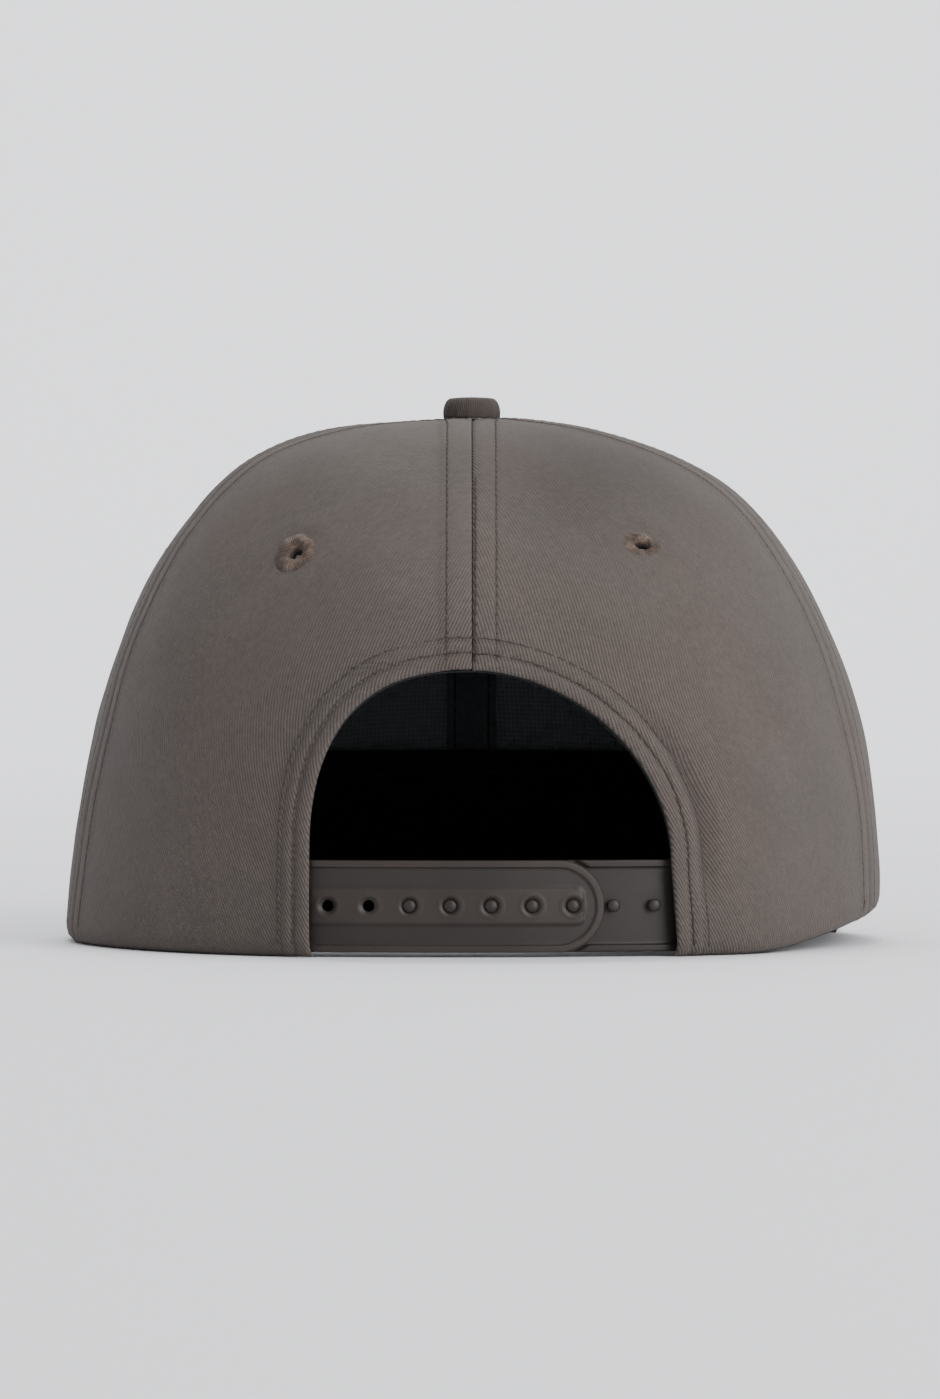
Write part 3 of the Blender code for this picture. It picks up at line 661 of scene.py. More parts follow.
def cloth_material(name, colour, pitch=TWILL_PITCH, lean=0.0, relief=0.20 * MM, contrast=0.48, sheen=0.10):
    nodes = Nodes(name, 0.92, Sheen_Weight=sheen, Sheen_Roughness=0.45, Specular_IOR_Level=0.25)
    nodes.shader.inputs["Sheen Tint"].default_value = (*[0.5 + 0.5 * c for c in colour], 1)
    rib, vector, crisp = nodes.twill(pitch, lean)
    mottle = nodes.noise(vector, 55.0, 4.0, 0.6)
    tone = nodes.ramp(mottle, (0.30, scaled(colour, 0.90)), (0.70, scaled(colour, 1.10)))
    warmth = nodes.noise(vector, 24.0, 2.0)
    warm = (colour[0] * 1.06, colour[1] * 0.985, colour[2] * 0.98)
    cool = (colour[0] * 0.96, colour[1] * 1.01, colour[2] * 1.0)
    tint = nodes.ramp(warmth, (0.35, cool), (0.65, warm))
    tone = nodes.mix(0.5, tone, tint)
    fibre = nodes.noise(vector, 1900.0, 2.0, 0.7)
    flecks = nodes.ramp(fibre, (0.25, (0.86,) * 3), (0.75, (1.14,) * 3))
    tone = nodes.mix(0.7, tone, flecks, "MULTIPLY")
    slub = nodes.noise(vector, 620.0, 3.0, 0.7)
    tone = nodes.mix(0.8, tone, nodes.ramp(slub, (0.32, (0.84,) * 3), (0.68, (1.14,) * 3)), "MULTIPLY")
    valleys = nodes.ramp(rib, (0.05, (1 - contrast,) * 3), (0.85, (1 + 0.5 * contrast,) * 3))
    tone = nodes.mix(crisp, tone, valleys, "MULTIPLY")
    # Multiplies in the painted shade and painted light held in the tone attribute.
    painted_light_and_shade_factor = nodes.node("ShaderNodeAttribute", attribute_name="tone").outputs["Fac"]
    nodes.colour(nodes.mix(1.0, tone, painted_light_and_shade_factor, "MULTIPLY"))
    height = nodes.math("MULTIPLY_ADD", fibre, 0.35, rib)
    nodes.bump(height, 0.65, relief)


def thread_material(name, colour, twist=900.0, roughness=0.6, variety=0.25, sheen=0.4):
    nodes = Nodes(name, roughness, Sheen_Weight=sheen, Sheen_Roughness=0.35, Specular_IOR_Level=0.2)
    place = nodes.object_place()
    strands = nodes.noise(place, twist, 3.0, 0.6, 0.4)
    tone = nodes.ramp(strands, (0.30, scaled(colour, 1 - variety)), (0.70, scaled(colour, 1 + variety)))
    nodes.colour(tone)
    nodes.bump(strands, 0.5, 0.12 * MM)


def embroidery_material():
    """Brown thread whose turns catch the light, with tan and dark turns among them, and painted shade on the
    turns that dive into the air hole.
    """
    nodes = Nodes("eyelet_thread", 0.6, Sheen_Weight=0.1, Sheen_Roughness=0.3, Specular_IOR_Level=0.35)
    place = nodes.object_place()
    patches = nodes.noise(place, 330.0, 3.0, 0.65)
    tone = nodes.ramp(
        patches, (0.30, (0.032, 0.022, 0.016)), (0.48, (0.074, 0.051, 0.038)), (0.66, (0.150, 0.106, 0.084))
    )
    _, _, outer, _ = nodes.cloth_place()
    white = (1.0, 1.0, 1.0)
    # Painted shade darkens the turns that dive into the air hole; the outer edge is olive thread.
    rim = nodes.ramp(outer, (0.0, (0.25,) * 3), (0.20, white), (0.62, white), (0.88, (0.36, 0.37, 0.30)))
    tone = nodes.mix(1.0, tone, rim, "MULTIPLY")
    strands = nodes.noise(place, 2200.0, 2.0, 0.6)
    shade = nodes.ramp(strands, (0.30, (0.78,) * 3), (0.70, (1.20,) * 3))
    nodes.colour(nodes.mix(1.0, tone, shade, "MULTIPLY"))
    nodes.bump(strands, 0.6, 0.10 * MM)


def plastic_material(name, colour):
    """Moulded strap plastic: satin, finely grained, with faint handling marks, and paler where raised."""
    nodes = Nodes(name, 0.46, Specular_IOR_Level=0.28)
    place = nodes.object_place()
    flow = nodes.noise(place, 60.0, 3.0)
    tone = nodes.ramp(flow, (0.35, scaled(colour, 0.92)), (0.65, scaled(colour, 1.10)))
    raised = nodes.node("ShaderNodeAttribute", attribute_name="raised").outputs["Fac"]
    worn = nodes.ramp(raised, (0.3, (1.0,) * 3), (0.9, (1.38, 1.28, 1.26)))
    nodes.colour(nodes.mix(1.0, tone, worn, "MULTIPLY"))
    marks = nodes.noise(place, 420.0, 4.0, 0.65)
    rough = nodes.math("MULTIPLY_ADD", marks, 0.16, 0.38)
    nodes.link(rough, nodes.shader.inputs["Roughness"])
    grain = nodes.noise(place, 2600.0, 2.0)
    nodes.bump(grain, 0.18, 0.05 * MM)


def metal_material(name, colour, roughness):
    nodes = Nodes(name, roughness, 1.0)
    place = nodes.object_place()
    marks = nodes.noise(place, 500.0, 4.0, 0.65)
    nodes.colour(nodes.ramp(marks, (0.3, scaled(colour, 0.8)), (0.7, colour)))
    rough = nodes.math("MULTIPLY_ADD", marks, 0.25, roughness - 0.1)
    nodes.link(rough, nodes.shader.inputs["Roughness"])
    nodes.bump(marks, 0.2, 0.05 * MM)


def mesh_material():
    """Resin-stiffened open mesh: a square grid of threads with darker holes."""
    nodes = Nodes("buckram_mesh", 0.8, Specular_IOR_Level=0.3)
    _, across, along, _ = nodes.cloth_place()
    pitch = 1.1 * MM
    warp = nodes.math("ABSOLUTE", nodes.math("SINE", nodes.math("MULTIPLY", across, math.pi / pitch)))
    weft = nodes.math("ABSOLUTE", nodes.math("SINE", nodes.math("MULTIPLY", along, math.pi / pitch)))
    hole = nodes.math("MULTIPLY", warp, weft)
    nodes.colour(nodes.ramp(hole, (0.25, (0.205, 0.219, 0.232)), (0.60, (0.168, 0.179, 0.189))))
    nodes.bump(nodes.math("SUBTRACT", 1.0, hole), 0.8, 0.2 * MM)


def stage_material():
    nodes = Nodes("studio_floor", 0.85, Specular_IOR_Level=0.1)
    place = nodes.object_place()
    grain = nodes.noise(place, 900.0, 2.0)
    nodes.colour(nodes.ramp(grain, (0.3, (0.785, 0.790, 0.815)), (0.7, (0.800, 0.805, 0.830))))


TAUPE = (0.0735, 0.0610, 0.0545)
BLACK = (0.011, 0.011, 0.012)


def make_materials():
    cloth_material("crown_twill", TAUPE)
    # The button's cloth is the crown's twill drawn darker, as painted shade.
    cloth_material("button_shaded_twill", scaled(TAUPE, 0.66))
    cloth_material("sweatband_twill", BLACK, 0.6 * MM, 0.6, 0.08 * MM, 0.3, 0.12)
    cloth_material("tape_twill", (0.095, 0.102, 0.108), 0.55 * MM, 0.0, 0.10 * MM, 0.35, 0.2)
    # The topstitch thread is the crown's own colour drawn darker, as painted shade for its sunk rows.
    thread_material("shaded_topstitch_thread", scaled(TAUPE, 0.75), roughness=0.95, sheen=0.0)
    thread_material("lining_thread", (0.030, 0.031, 0.033), roughness=0.9, sheen=0.0)
    # Painted shade: the near-black colour of the needle-hole capsules.
    needle_hole_shade = Nodes("needle_hole_shade", 1.0, Specular_IOR_Level=0.0)
    needle_hole_shade.shader.inputs["Base Color"].default_value = (0.045, 0.038, 0.034, 1)
    embroidery_material()
    plastic_material("strap_plastic", (0.0180, 0.0143, 0.0126))
    plastic_material("inner_strap_plastic", (0.0125, 0.0089, 0.0074))
    metal_material("pressed_steel", (0.55, 0.55, 0.54), 0.38)
    mesh_material()
    stage_material()


# ---- Crown panels ----
# Distances from a panel's edge, close together where the sewn relief is
NEAR_SEAM = [0, 0.12, 0.35, 0.7, 1.2, 1.9, 2.8, 3.7, 4.5, 5.0, 5.5, 6.0, 6.6, 7.4, 8.6, 10.5, 13.5]
NEAR_SEAM = np.array(NEAR_SEAM) * MM
NEAR_ARCH = [0, 0.12, 0.35, 0.7, 1.2, 2.0, 2.8, 3.3, 3.8, 4.5, 5.4, 6.2, 6.7, 7.2, 7.9, 8.8, 10.4, 13.0]
NEAR_ARCH = np.array(NEAR_ARCH) * MM
SIDE_MIDDLE = 22  # how many more points lie between the two close stretches
REAR_MIDDLE = 26

OUTER_FACES = []  # a copy of each panel's outer face


def spread(width, near_start, near_end, middle):
    """Distances across a panel of this width, close together by both of its edges."""
    shrink = min(1.0, 0.42 * width / max(near_start[-1], near_end[-1]))
    start = near_start * shrink
    end = width - near_end[::-1] * shrink
    between = np.linspace(start[-1], end[0], middle + 2)[1:-1]
    return np.concatenate([start, between, end])


def side_grid(start, end, rows=120):
    """Turns and climbs of a panel between two seams."""
    middle = (start + end) / 2
    climbs = even_climbs(middle, 0.0, float(climb_at_radius(middle, TOP_RING)), rows)
    turns = np.zeros((rows, 2 * len(NEAR_SEAM) + SIDE_MIDDLE))
    for j, climb in enumerate(climbs):
        radius = float(radius_at(middle, climb))
        across = spread((end - start) * radius, NEAR_SEAM, NEAR_SEAM, SIDE_MIDDLE)
        turns[j] = start + across / radius
    return turns, np.repeat(climbs[:, None], turns.shape[1], 1)


def rear_grid(right, rows=210):
    """Turns and climbs of a rear panel, from its side seam to the arch's edge and the centre seam."""
    side_turn = REAR_SEAM_RIGHT if right else 2 * math.pi - REAR_SEAM_LEFT
    x, height = arch_side(np.linspace(0, 1, 500), right)
    arch_turn, arch_climb = rear_place(x, np.maximum(height, HEM_LOWEST * 1.01))
    arch_turn[-1] = math.pi
    seam_climb = np.linspace(arch_climb[-1], float(climb_at_radius(math.pi, TOP_RING)), 400)[1:]
    inner_turn = np.concatenate([arch_turn, np.full(len(seam_climb), math.pi)])
    inner_climb = np.concatenate([arch_climb, seam_climb])
    line = crown_face(inner_turn, inner_climb)
    length = lengths_along(line)
    at = np.linspace(0, length[-1], rows)
    inner_turn = np.interp(at, length, inner_turn)
    inner_climb = np.interp(at, length, inner_climb)
    outer_climb = even_climbs(side_turn, 0.0, float(climb_at_radius(side_turn, TOP_RING)), rows)
    turns = np.zeros((rows, len(NEAR_SEAM) + len(NEAR_ARCH) + REAR_MIDDLE))
    climbs = np.zeros_like(turns)
    for j in range(rows):
        a = crown_face(side_turn, outer_climb[j])
        b = crown_face(inner_turn[j], inner_climb[j])
        width = max(0.5 * MM, float(np.linalg.norm(a - b)) * 1.04)
        share = spread(width, NEAR_SEAM, NEAR_ARCH, REAR_MIDDLE) / width
        turns[j] = side_turn + (inner_turn[j] - side_turn) * share
        climbs[j] = outer_climb[j] + (inner_climb[j] - outer_climb[j]) * share
    return turns, climbs


def distance_to_line(points, line):
    flat = points.reshape(-1, 3)
    nearest = np.full(len(flat), 1.0)
    for start, end in zip(line[:-1], line[1:]):
        step = end - start
        share = np.clip((flat - start) @ step / (step @ step), 0, 1)
        nearest = np.minimum(nearest, np.linalg.norm(flat - start - share[:, None] * step, axis=1))
    return nearest.reshape(points.shape[:-1])


def eyelet_centres():
    centres = {}
    for node in frame["nodes"]:
        if node.endswith("_eyelet"):
            low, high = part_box(node)
            centres[node] = [(a + b) / 2 for a, b in zip(low, high)]
    return centres


def relieved(turns, climbs, seams, lifts, with_arch):
    """The crown's face with its sewn relief, the points' places on the flat cloth, and a colour factor that
    holds painted shade and painted light on the rear panels.
    """
    base = crown_face(turns, climbs)
    normal = crown_normal(turns, climbs)
    radius = np.linalg.norm(base[..., :2], axis=-1)
    relief = softness(base)
    for seam, lift in zip(seams, lifts):
        distance = np.abs(turns - seam) * radius
        fade = ease(radius / (26 * MM))
        central = abs(math.sin(seam)) < 0.1
        at_seam = seam_relief(distance, lift * MM, 0.38 * MM if central else 0.22 * MM)
        relief += np.where(distance < 0.7 * MM, at_seam, at_seam * (0.35 + 0.65 * fade))
    hem = base[..., 2] - hem_height(turns)
    relief += hem_relief(hem)
    beside_arch = distance_to_line(base, ARCH_LINE) if with_arch else np.full(base.shape[:2], 0.1)
    if with_arch:
        relief += arch_relief(beside_arch, base)
    relief += eyelet_relief(base, EYELETS.values())
    middle = (seams[0] + seams[1]) / 2
    known, length = climb_lengths(middle)
    along = np.interp(climbs, known, length)
    weave = np.stack([(middle - turns) * radius + rib_drift(along), along, beside_arch], -1)
    points = base + relief[..., None] * normal
    points[..., 2] += side_lift(turns) * (1 - ease(hem / (24 * MM)))
    points[..., 2] = np.maximum(points[..., 2], HEM_LOWEST)
    tone = np.ones(base.shape[:2])
    if with_arch:
        # Painted shade in the fold beside the arch's right foot and a painted highlight on the band between
        # the arch's rows, laid over the rear's painted light and shade.
        fold = 0.26 * np.exp(-(((beside_arch - 8.6 * MM) / (1.9 * MM)) ** 2))
        ridge = 0.14 * np.exp(-(((beside_arch - 5.2 * MM) / (1.2 * MM)) ** 2))
        tone = rear_painted_light_and_shade(base[..., 0], base[..., 2]) * (1 + (ridge - fold) * crease(base))
    return points, weave, tone


def cut_air_hole(obj, centre):
    """Opens the cloth under an eyelet."""
    working = bmesh.new()
    working.from_mesh(obj.data)
    middle = Vector(centre)
    doomed = [face for face in working.faces if (face.calc_center_median() - middle).length < 1.9 * MM]
    bmesh.ops.delete(working, geom=doomed, context="FACES")
    working.to_mesh(obj.data)
    working.free()


def crown_panel(name, turns, climbs, seams, lifts, with_arch=False):
    points, weave, tone = relieved(turns, climbs, seams, lifts, with_arch)
    obj = grid_object(name + "_cloth", points, weave, tone=tone)
    turn_outward(obj)
    cut_air_hole(obj, EYELETS[name.replace("panel", "eyelet")])
    OUTER_FACES.append(surface_copy(obj))
    thicken(obj, CLOTH)
    paint(obj, "crown_twill")
    stands_for(obj, name)


def turn_outward(obj):
    mesh = obj.data
    inside = Vector((0, 0, HEIGHT / 3))
    facing = sum(f.area * f.normal.dot(f.center - inside) for f in mesh.polygons)
    if facing < 0:
        mesh.flip_normals()


def crown_panels():
    left_rear = 2 * math.pi - REAR_SEAM_LEFT
    plain = {
        "front_left_panel": (-FRONT_SEAM, 0.0),
        "front_right_panel": (0.0, FRONT_SEAM),
        "side_left_panel": (-REAR_SEAM_LEFT, -FRONT_SEAM),
        "side_right_panel": (FRONT_SEAM, REAR_SEAM_RIGHT),
    }
    for name, seams in plain.items():
        crown_panel(name, *side_grid(*seams), seams, (0.20, 0.20))
    crown_panel("rear_right_panel", *rear_grid(True), (REAR_SEAM_RIGHT, math.pi), (0.20, 0.12), True)
    crown_panel("rear_left_panel", *rear_grid(False), (left_rear, math.pi), (0.20, 0.55), True)


def outward_from_crown(place):
    turn = math.atan2(place[0], place[1])
    if place[2] > 60 * MM:
        climb = climb_at_radius(turn, math.hypot(place[0], place[1]))
    else:
        climb = climb_at_height(turn, place[2])
    return crown_normal(turn, float(climb))


def seam_line(seam, offset, low, top_radius=8 * MM):
    """A line beside a seam, at a constant distance from it."""
    high = float(climb_at_radius(seam, top_radius))
    climbs = even_climbs(seam, low, high, 90)
    radius = radius_at(seam, climbs)
    return crown_face(seam + offset / radius, climbs)


def beside_arch_edge(shares, distance):
    """(x, height) of places this far outside the arch's edge."""
    x, height = arch_edge(shares)
    heading = np.stack([np.gradient(x), np.gradient(height)], -1)
    heading /= np.linalg.norm(heading, axis=1, keepdims=True)
    return x - heading[:, 1] * distance, height + heading[:, 0] * distance


def offset_arch(distance, foot=2.4 * MM):
    """A line this far outside the arch's edge, foot to foot."""
    x, height = beside_arch_edge(even_arch_shares(260), distance)
    keep = height > foot
    return rear_point(x[keep], height[keep])


def crown_topstitching():
    surface = surface_tree(OUTER_FACES)
    above_arch = float(climb_at_height(math.pi, ARCH_TOP + 1.2 * MM))
    lines = []
    for seam in (0.0, FRONT_SEAM, -FRONT_SEAM, REAR_SEAM_RIGHT, -REAR_SEAM_LEFT, math.pi):
        low = above_arch if seam == math.pi else 0.012
        lines += [seam_line(seam, SEAM_ROW, low), seam_line(seam, -SEAM_ROW, low)]
    lines.append(seam_line(math.pi, -0.9 * MM, above_arch, 50 * MM))
    pieces = stitch_rows("crown_seam_topstitching", lines, surface, outward_from_crown)
    rows = [offset_arch(distance) for distance in ARCH_ROWS]
    pieces += stitch_rows("arch_topstitching", rows, surface, outward_from_crown, pitch=2.7 * MM)
    sew_on(pieces)


# ---- Eyelets ----
# How wide and how tall each worked ring is, as shares of its usual size, and its tilt
RING_SHAPES = {"rear_left_eyelet": (1.20, 1.20, -0.5), "rear_right_eyelet": (1.24, 0.86, 0.0)}
USUAL_RING = (1.06, 0.94, 0.0)
# The ring's cross-section from its air hole outward: radius and height, in millimetres
RING_PROFILE = [(1.15, -1.6), (1.3, -0.4), (1.75, 0.45), (2.4, 0.85)]
RING_PROFILE += [(3.1, 0.90), (3.9, 0.65), (4.6, 0.2), (4.95, -0.35)]


def eyelet(name, centre, turns=46):
    """A worked ring: turns of thread laid from the air hole outward, over a padded ridge."""
    wide, tall, tilt = RING_SHAPES.get(name, USUAL_RING)
    centre = np.array(centre)
    turn = math.atan2(centre[0], centre[1])
    climb = float(climb_at_height(turn, centre[2]))
    outward = crown_normal(turn, climb)
    side = np.cross([0, 0, 1.0], outward)
    side /= np.linalg.norm(side)
    up = np.cross(outward, side)
    around = turns * 6
    seed = len(name) * 0.7 + centre[0] * 90
    points = np.zeros((len(RING_PROFILE), around, 3))
    weave = np.zeros((len(RING_PROFILE), around, 2))
    for k in range(around):
        angle = 2 * math.pi * k / around
        ridge = math.cos(angle * turns)
        wobble = 0.10 * math.sin(3 * angle + seed) + 0.07 * math.sin(7 * angle + 2 * seed)
        ragged = 0.16 * math.sin(angle * turns * 0.5 + seed) * math.sin(11 * angle)
        for j, (radius, height) in enumerate(RING_PROFILE):
            outer = j / (len(RING_PROFILE) - 1)
            radius = radius * (1 + 0.35 * wobble * outer) + ragged * outer + 0.08 * ridge * outer
            height = height * (1 + 0.8 * wobble) + 0.15 * ridge * math.sin(math.pi * min(1, outer + 0.15))
            stretch_x = wide * math.cos(angle)
            stretch_y = tall * math.sin(angle) + 0.3 * tilt * math.cos(angle)
            ring = radius * MM * (stretch_x * side + stretch_y * up)
            points[j, k] = centre + ring + height * MM * outward
            weave[j, k] = (angle, outer)
    obj = grid_object(name + "_thread", points, weave, closed=True)
    face = obj.data.polygons[len(obj.data.polygons) // 2]
    if face.normal.dot(Vector(outward)) < 0:
        obj.data.flip_normals()
    thicken(obj, 0.25 * MM)
    paint(obj, "eyelet_thread")
    stands_for(obj, name)


# ---- Button ----
BUTTON_CORNER = 1.9 * MM
BUTTON_CROWNING = 0.25 * MM


def button():
    low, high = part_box("button_cover")
    base = low[2] - 0.5 * MM
    radius = (high[0] - low[0]) / 2
    height = high[2] - base + 0.45 * MM
    around = 96
    levels = 22
    points = np.zeros((levels, around, 3))
    weave = np.zeros((levels, around, 2))
    for j in range(levels):
        share = j / (levels - 1)
        if share < 0.5:
            reach = share / 0.5 * (radius - BUTTON_CORNER)
            z = height - BUTTON_CROWNING * (share / 0.5) ** 2
        else:
            angle = (share - 0.5) / 0.5 * math.radians(112)
            reach = radius - BUTTON_CORNER + BUTTON_CORNER * math.sin(angle)
            z = height - BUTTON_CROWNING - (height * 0.62) * (1 - math.cos(angle))
        for k in range(around):
            turn = 2 * math.pi * k / around
            gather = 0.10 * MM * math.sin(14 * turn + 0.6) * max(0, share - 0.55) / 0.45
            out = max(reach + gather, 0.02 * MM)
            points[j, k] = (out * math.sin(turn), out * math.cos(turn), base + z)
            flat = share * 12 * MM
            weave[j, k] = (flat * math.sin(turn), flat * math.cos(turn))
    obj = grid_object("button_cloth", points, weave, closed=True)
    turn_outward(obj)
    thicken(obj, 0.45 * MM)
    # Painted shade: the button wears the darker copy of the crown's twill.
    paint(obj, "button_shaded_twill")
    stands_for(obj, "button_cover")
    for node in ("button_shell", "button_post", "button_washer"):
        paint(frame["nodes"][node], "pressed_steel")


# ---- The visor ----
VISOR_HALF_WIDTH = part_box("visor_board")[1][0]
VISOR_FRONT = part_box("visor_board")[1][1]
VISOR_WIDEST_AT = 46 * MM
VISOR_POWER = 2.45
VISOR_TIP_TURN = math.radians(72)
VISOR_TIP_TUCK = 1.4 * MM
VISOR_ROOT_DEPTH = 4.1 * MM
VISOR_EDGE_ROOM = 0.9 * MM  # between the covers' rounded edge and the board
VISOR_ROWS = [(4.5 + 6.5 * k) * MM for k in range(8)]


def visor_lines(count):
    """Points from left to right on the visor's outer edge and root, and each one's distance from an end."""
    tip_radius = float(hem_radius(VISOR_TIP_TURN)) - VISOR_ROOT_DEPTH
    tip_y = tip_radius * math.cos(VISOR_TIP_TURN)
    share = np.linspace(1, 0, 30)[:-1]
    side_x = VISOR_HALF_WIDTH - VISOR_TIP_TUCK * share**2
    side_y = VISOR_WIDEST_AT + (tip_y - VISOR_WIDEST_AT) * share
    angle = np.linspace(-math.pi / 2, math.pi / 2, 200)
    x = VISOR_HALF_WIDTH * np.sign(angle) * np.abs(np.sin(angle)) ** (2 / VISOR_POWER)
    y = VISOR_WIDEST_AT + (VISOR_FRONT - VISOR_WIDEST_AT) * np.clip(np.cos(angle), 0, 1) ** (2 / VISOR_POWER)
    outer_x = np.concatenate([-side_x, x, side_x[::-1]])
    outer_y = np.concatenate([side_y, y, side_y[::-1]])
    outer = np.stack([outer_x, outer_y], -1)
    turn = np.linspace(-VISOR_TIP_TURN, VISOR_TIP_TURN, 200)
    radius = hem_radius(turn) - VISOR_ROOT_DEPTH
    root = np.stack([radius * np.sin(turn), radius * np.cos(turn)], -1)
    length = np.linalg.norm(np.diff(outer, axis=0), axis=1).sum()
    ends = np.array([0.0, 0.1, 0.3, 0.7, 1.2, 1.8]) * MM / length
    shares = np.concatenate([ends, np.linspace(ends[-1], 1 - ends[-1], count)[1:-1], 1 - ends[::-1]])
    return line_at(outer, shares), line_at(root, shares), np.minimum(shares, 1 - shares) * length


def line_at(points, shares):
    """Points at these shares of a line's length."""
    length = lengths_along(points)
    return np.stack([np.interp(shares * length[-1], length, points[:, k]) for k in range(2)], -1)


def visor_cover(name, node, upper):
    """One cloth cover of the visor, rolled over the board's edge to half its thickness."""
    outer, root, from_end = visor_lines(214)
    columns = len(outer)
    reach = np.linalg.norm(outer - root, axis=1)
    inward = (root - outer) / reach[:, None]
    half = (VISOR_STACK - 0.15 * MM) / 2
    end_round = np.sqrt(1 - np.clip(1 - from_end / half, 0, 0.999) ** 2)
    edge = [(0.0, 0.02), (0.08, 0.40), (0.30, 0.72), (0.62, 0.92), (1.0, 1.0)]
    steps = np.concatenate([np.array([d for d, _ in edge]) * half, np.arange(2.4, 76, 0.9) * MM])
    lift = np.concatenate([np.array([h for _, h in edge]), np.ones(len(steps) - len(edge))]) * half
    points = np.zeros((len(steps), columns, 3))
    weave = np.zeros((len(steps), columns, 2))
    for j, (step, rise) in enumerate(zip(steps, lift)):
        distance = np.minimum(step, reach)
        flat = outer + inward * distance[:, None]
        relief = sum(groove(distance, row, 0.26 * MM, 0.7 * MM) for row in VISOR_ROWS)
        ripple = 0.12 * MM * np.sin(31 * flat[:, 0] * 3) * np.sin(29 * flat[:, 1] * 3)
        relief = relief + ripple * min(1, step / (5 * MM))
        height = (rise + (relief if step > 2 * MM else 0.0)) * end_round
        points[j, :, :2] = flat
        points[j, :, 2] = half + 0.1 * MM + (height if upper else -height * 0.98)
        weave[j, :, 0] = flat[:, 0]
        weave[j, :, 1] = flat[:, 1]
    points[..., 2] = np.maximum(points[..., 2], 0.05 * MM)
    obj = grid_object(name, points, weave)
    facing = sum(f.area * f.normal.z for f in obj.data.polygons)
    if (facing > 0) != upper:
        obj.data.flip_normals()
    surface = surface_tree([surface_copy(obj)])
    thicken(obj, 0.4 * MM)
    paint(obj, "crown_twill")
    stands_for(obj, node)
    up = np.array([0, 0, 1.0 if upper else -1.0])
    lines = []
    for row in VISOR_ROWS:
        keep = reach > row + 3 * MM
        flat = (outer + inward * row)[keep]
        lines.append(np.concatenate([flat, np.full((len(flat), 1), VISOR_STACK / 2)], 1))
    pieces = stitch_rows(name + "_stitching", lines, surface, lambda place: up, pitch=2.8 * MM)
    for piece in pieces:
        for vertex in piece.data.vertices:
            vertex.co.z = max(vertex.co.z, 0.02 * MM)
    sew_on(pieces)


def visor_board():
    """The plastic board, drawn in from the rounded edge of its covers."""
    board = Nodes("visor_board_plastic", 0.5)
    place = board.object_place()
    grain = board.noise(place, 700.0, 3.0)
    board.colour(board.ramp(grain, (0.3, (0.50, 0.50, 0.47)), (0.7, (0.58, 0.58, 0.55))))
    outer, root, from_end = visor_lines(150)
    keep = from_end > 1.5 * MM
    outer, root = outer[keep], root[keep]
    reach = np.linalg.norm(outer - root, axis=1)
    inward = (root - outer) / reach[:, None]
    low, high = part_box("visor_board")
    faces = []
    for height in (high[2] - 0.1 * MM, low[2] + 0.1 * MM):
        rows = []
        for share in np.linspace(0, 1, 24):
            distance = VISOR_EDGE_ROOM + (reach - VISOR_EDGE_ROOM) * share
            flat = outer + inward * distance[:, None]
            rows.append(np.concatenate([flat, np.full((len(flat), 1), height)], 1))
        faces.append(np.array(rows))
    obj = slab_object("visor_board_slab", *faces)
    obj.data.set_sharp_from_angle(angle=math.radians(50))
    paint(obj, "visor_board_plastic")
    stands_for(obj, "visor_board")


def visor():
    visor_cover("visor_upper_cloth", "visor_upper_cover", True)
    visor_cover("visor_under_cloth", "visor_under_cover", False)
    visor_board()


# ---- Linings inside the crown ----
SWEATBAND_FROM = math.radians(-154)
SWEATBAND_TO = math.radians(148)
SWEATBAND_DEPTH = 4.8 * MM  # from the crown's face
SWEATBAND_ROW = 36.5 * MM
BUCKRAM_DEPTH = 1.9 * MM
TAPE_HALF_WIDTH = 6.0 * MM
FACING_DEPTH = 1.75 * MM


def lining_sheet(name, node, points, weave, material, thickness=0.5 * MM):
    obj = grid_object(name, points, weave)
    turn_outward(obj)
    thicken(obj, thickness)
    paint(obj, material)
    stands_for(obj, node)
    return obj


def sweatband():
    low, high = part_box("sweatband")
    columns = 420
    heights = np.concatenate([[0.3, 0.6, 1.2, 2.0], np.arange(3, 40, 1.0), [40.2, 41.0, 41.6]]) * MM
    turns = np.linspace(SWEATBAND_FROM, SWEATBAND_TO, columns)
    points = np.zeros((len(heights), columns, 3))
    weave = np.zeros((len(heights), columns, 2))
    for j, height in enumerate(heights):
        climbs = climb_at_height(turns, np.maximum(height, hem_height(turns)))
        wrinkle = 0.28 * np.sin(turns * 47 + 2.2 * math.sin(height * 90))
        wrinkle = wrinkle + 0.2 * np.sin(turns * 83 + height * 140)
        wrinkle = wrinkle * np.sin(math.pi * min(1, (height - low[2]) / (high[2] - low[2]))) * MM
        edge = rolled_edge(height - heights[0], 0.8 * MM) + rolled_edge(heights[-1] - height, 0.6 * MM)
        row = groove(height, SWEATBAND_ROW, 0.3 * MM, 0.7 * MM) + groove(height, 4.5 * MM, 0.25 * MM)
        row_points = crown_point(turns, climbs, SWEATBAND_DEPTH + wrinkle - edge - row)
        beyond_visor = ease((np.abs(turns) - math.radians(52)) / math.radians(8))
        lifted = (hem_height(turns) + side_lift(turns) - 0.9 * MM + 0.25 * height) * beyond_visor
        row_points[:, 2] = np.maximum(height, lifted)
        points[j] = row_points
        weave[j, :, 0] = turns * float(hem_radius(0.0))
        weave[j, :, 1] = height
    obj = lining_sheet(
        "sweatband_cloth", "sweatband", points, weave, "sweatband_twill", CLOTH
    )
    inside = BVHTree.FromObject(obj, bpy.context.evaluated_depsgraph_get())
    line = crown_point(turns, climb_at_height(turns, SWEATBAND_ROW), SWEATBAND_DEPTH + 1.0 * MM)

    def inward(place):
        away = np.array([-place[0], -place[1], 0.0])
        return away / np.linalg.norm(away)

    pieces = stitch_rows("sweatband_stitching", [line], inside, inward, pitch=3.0 * MM)
    sew_on(pieces)
    paint(pieces[0], "lining_thread")


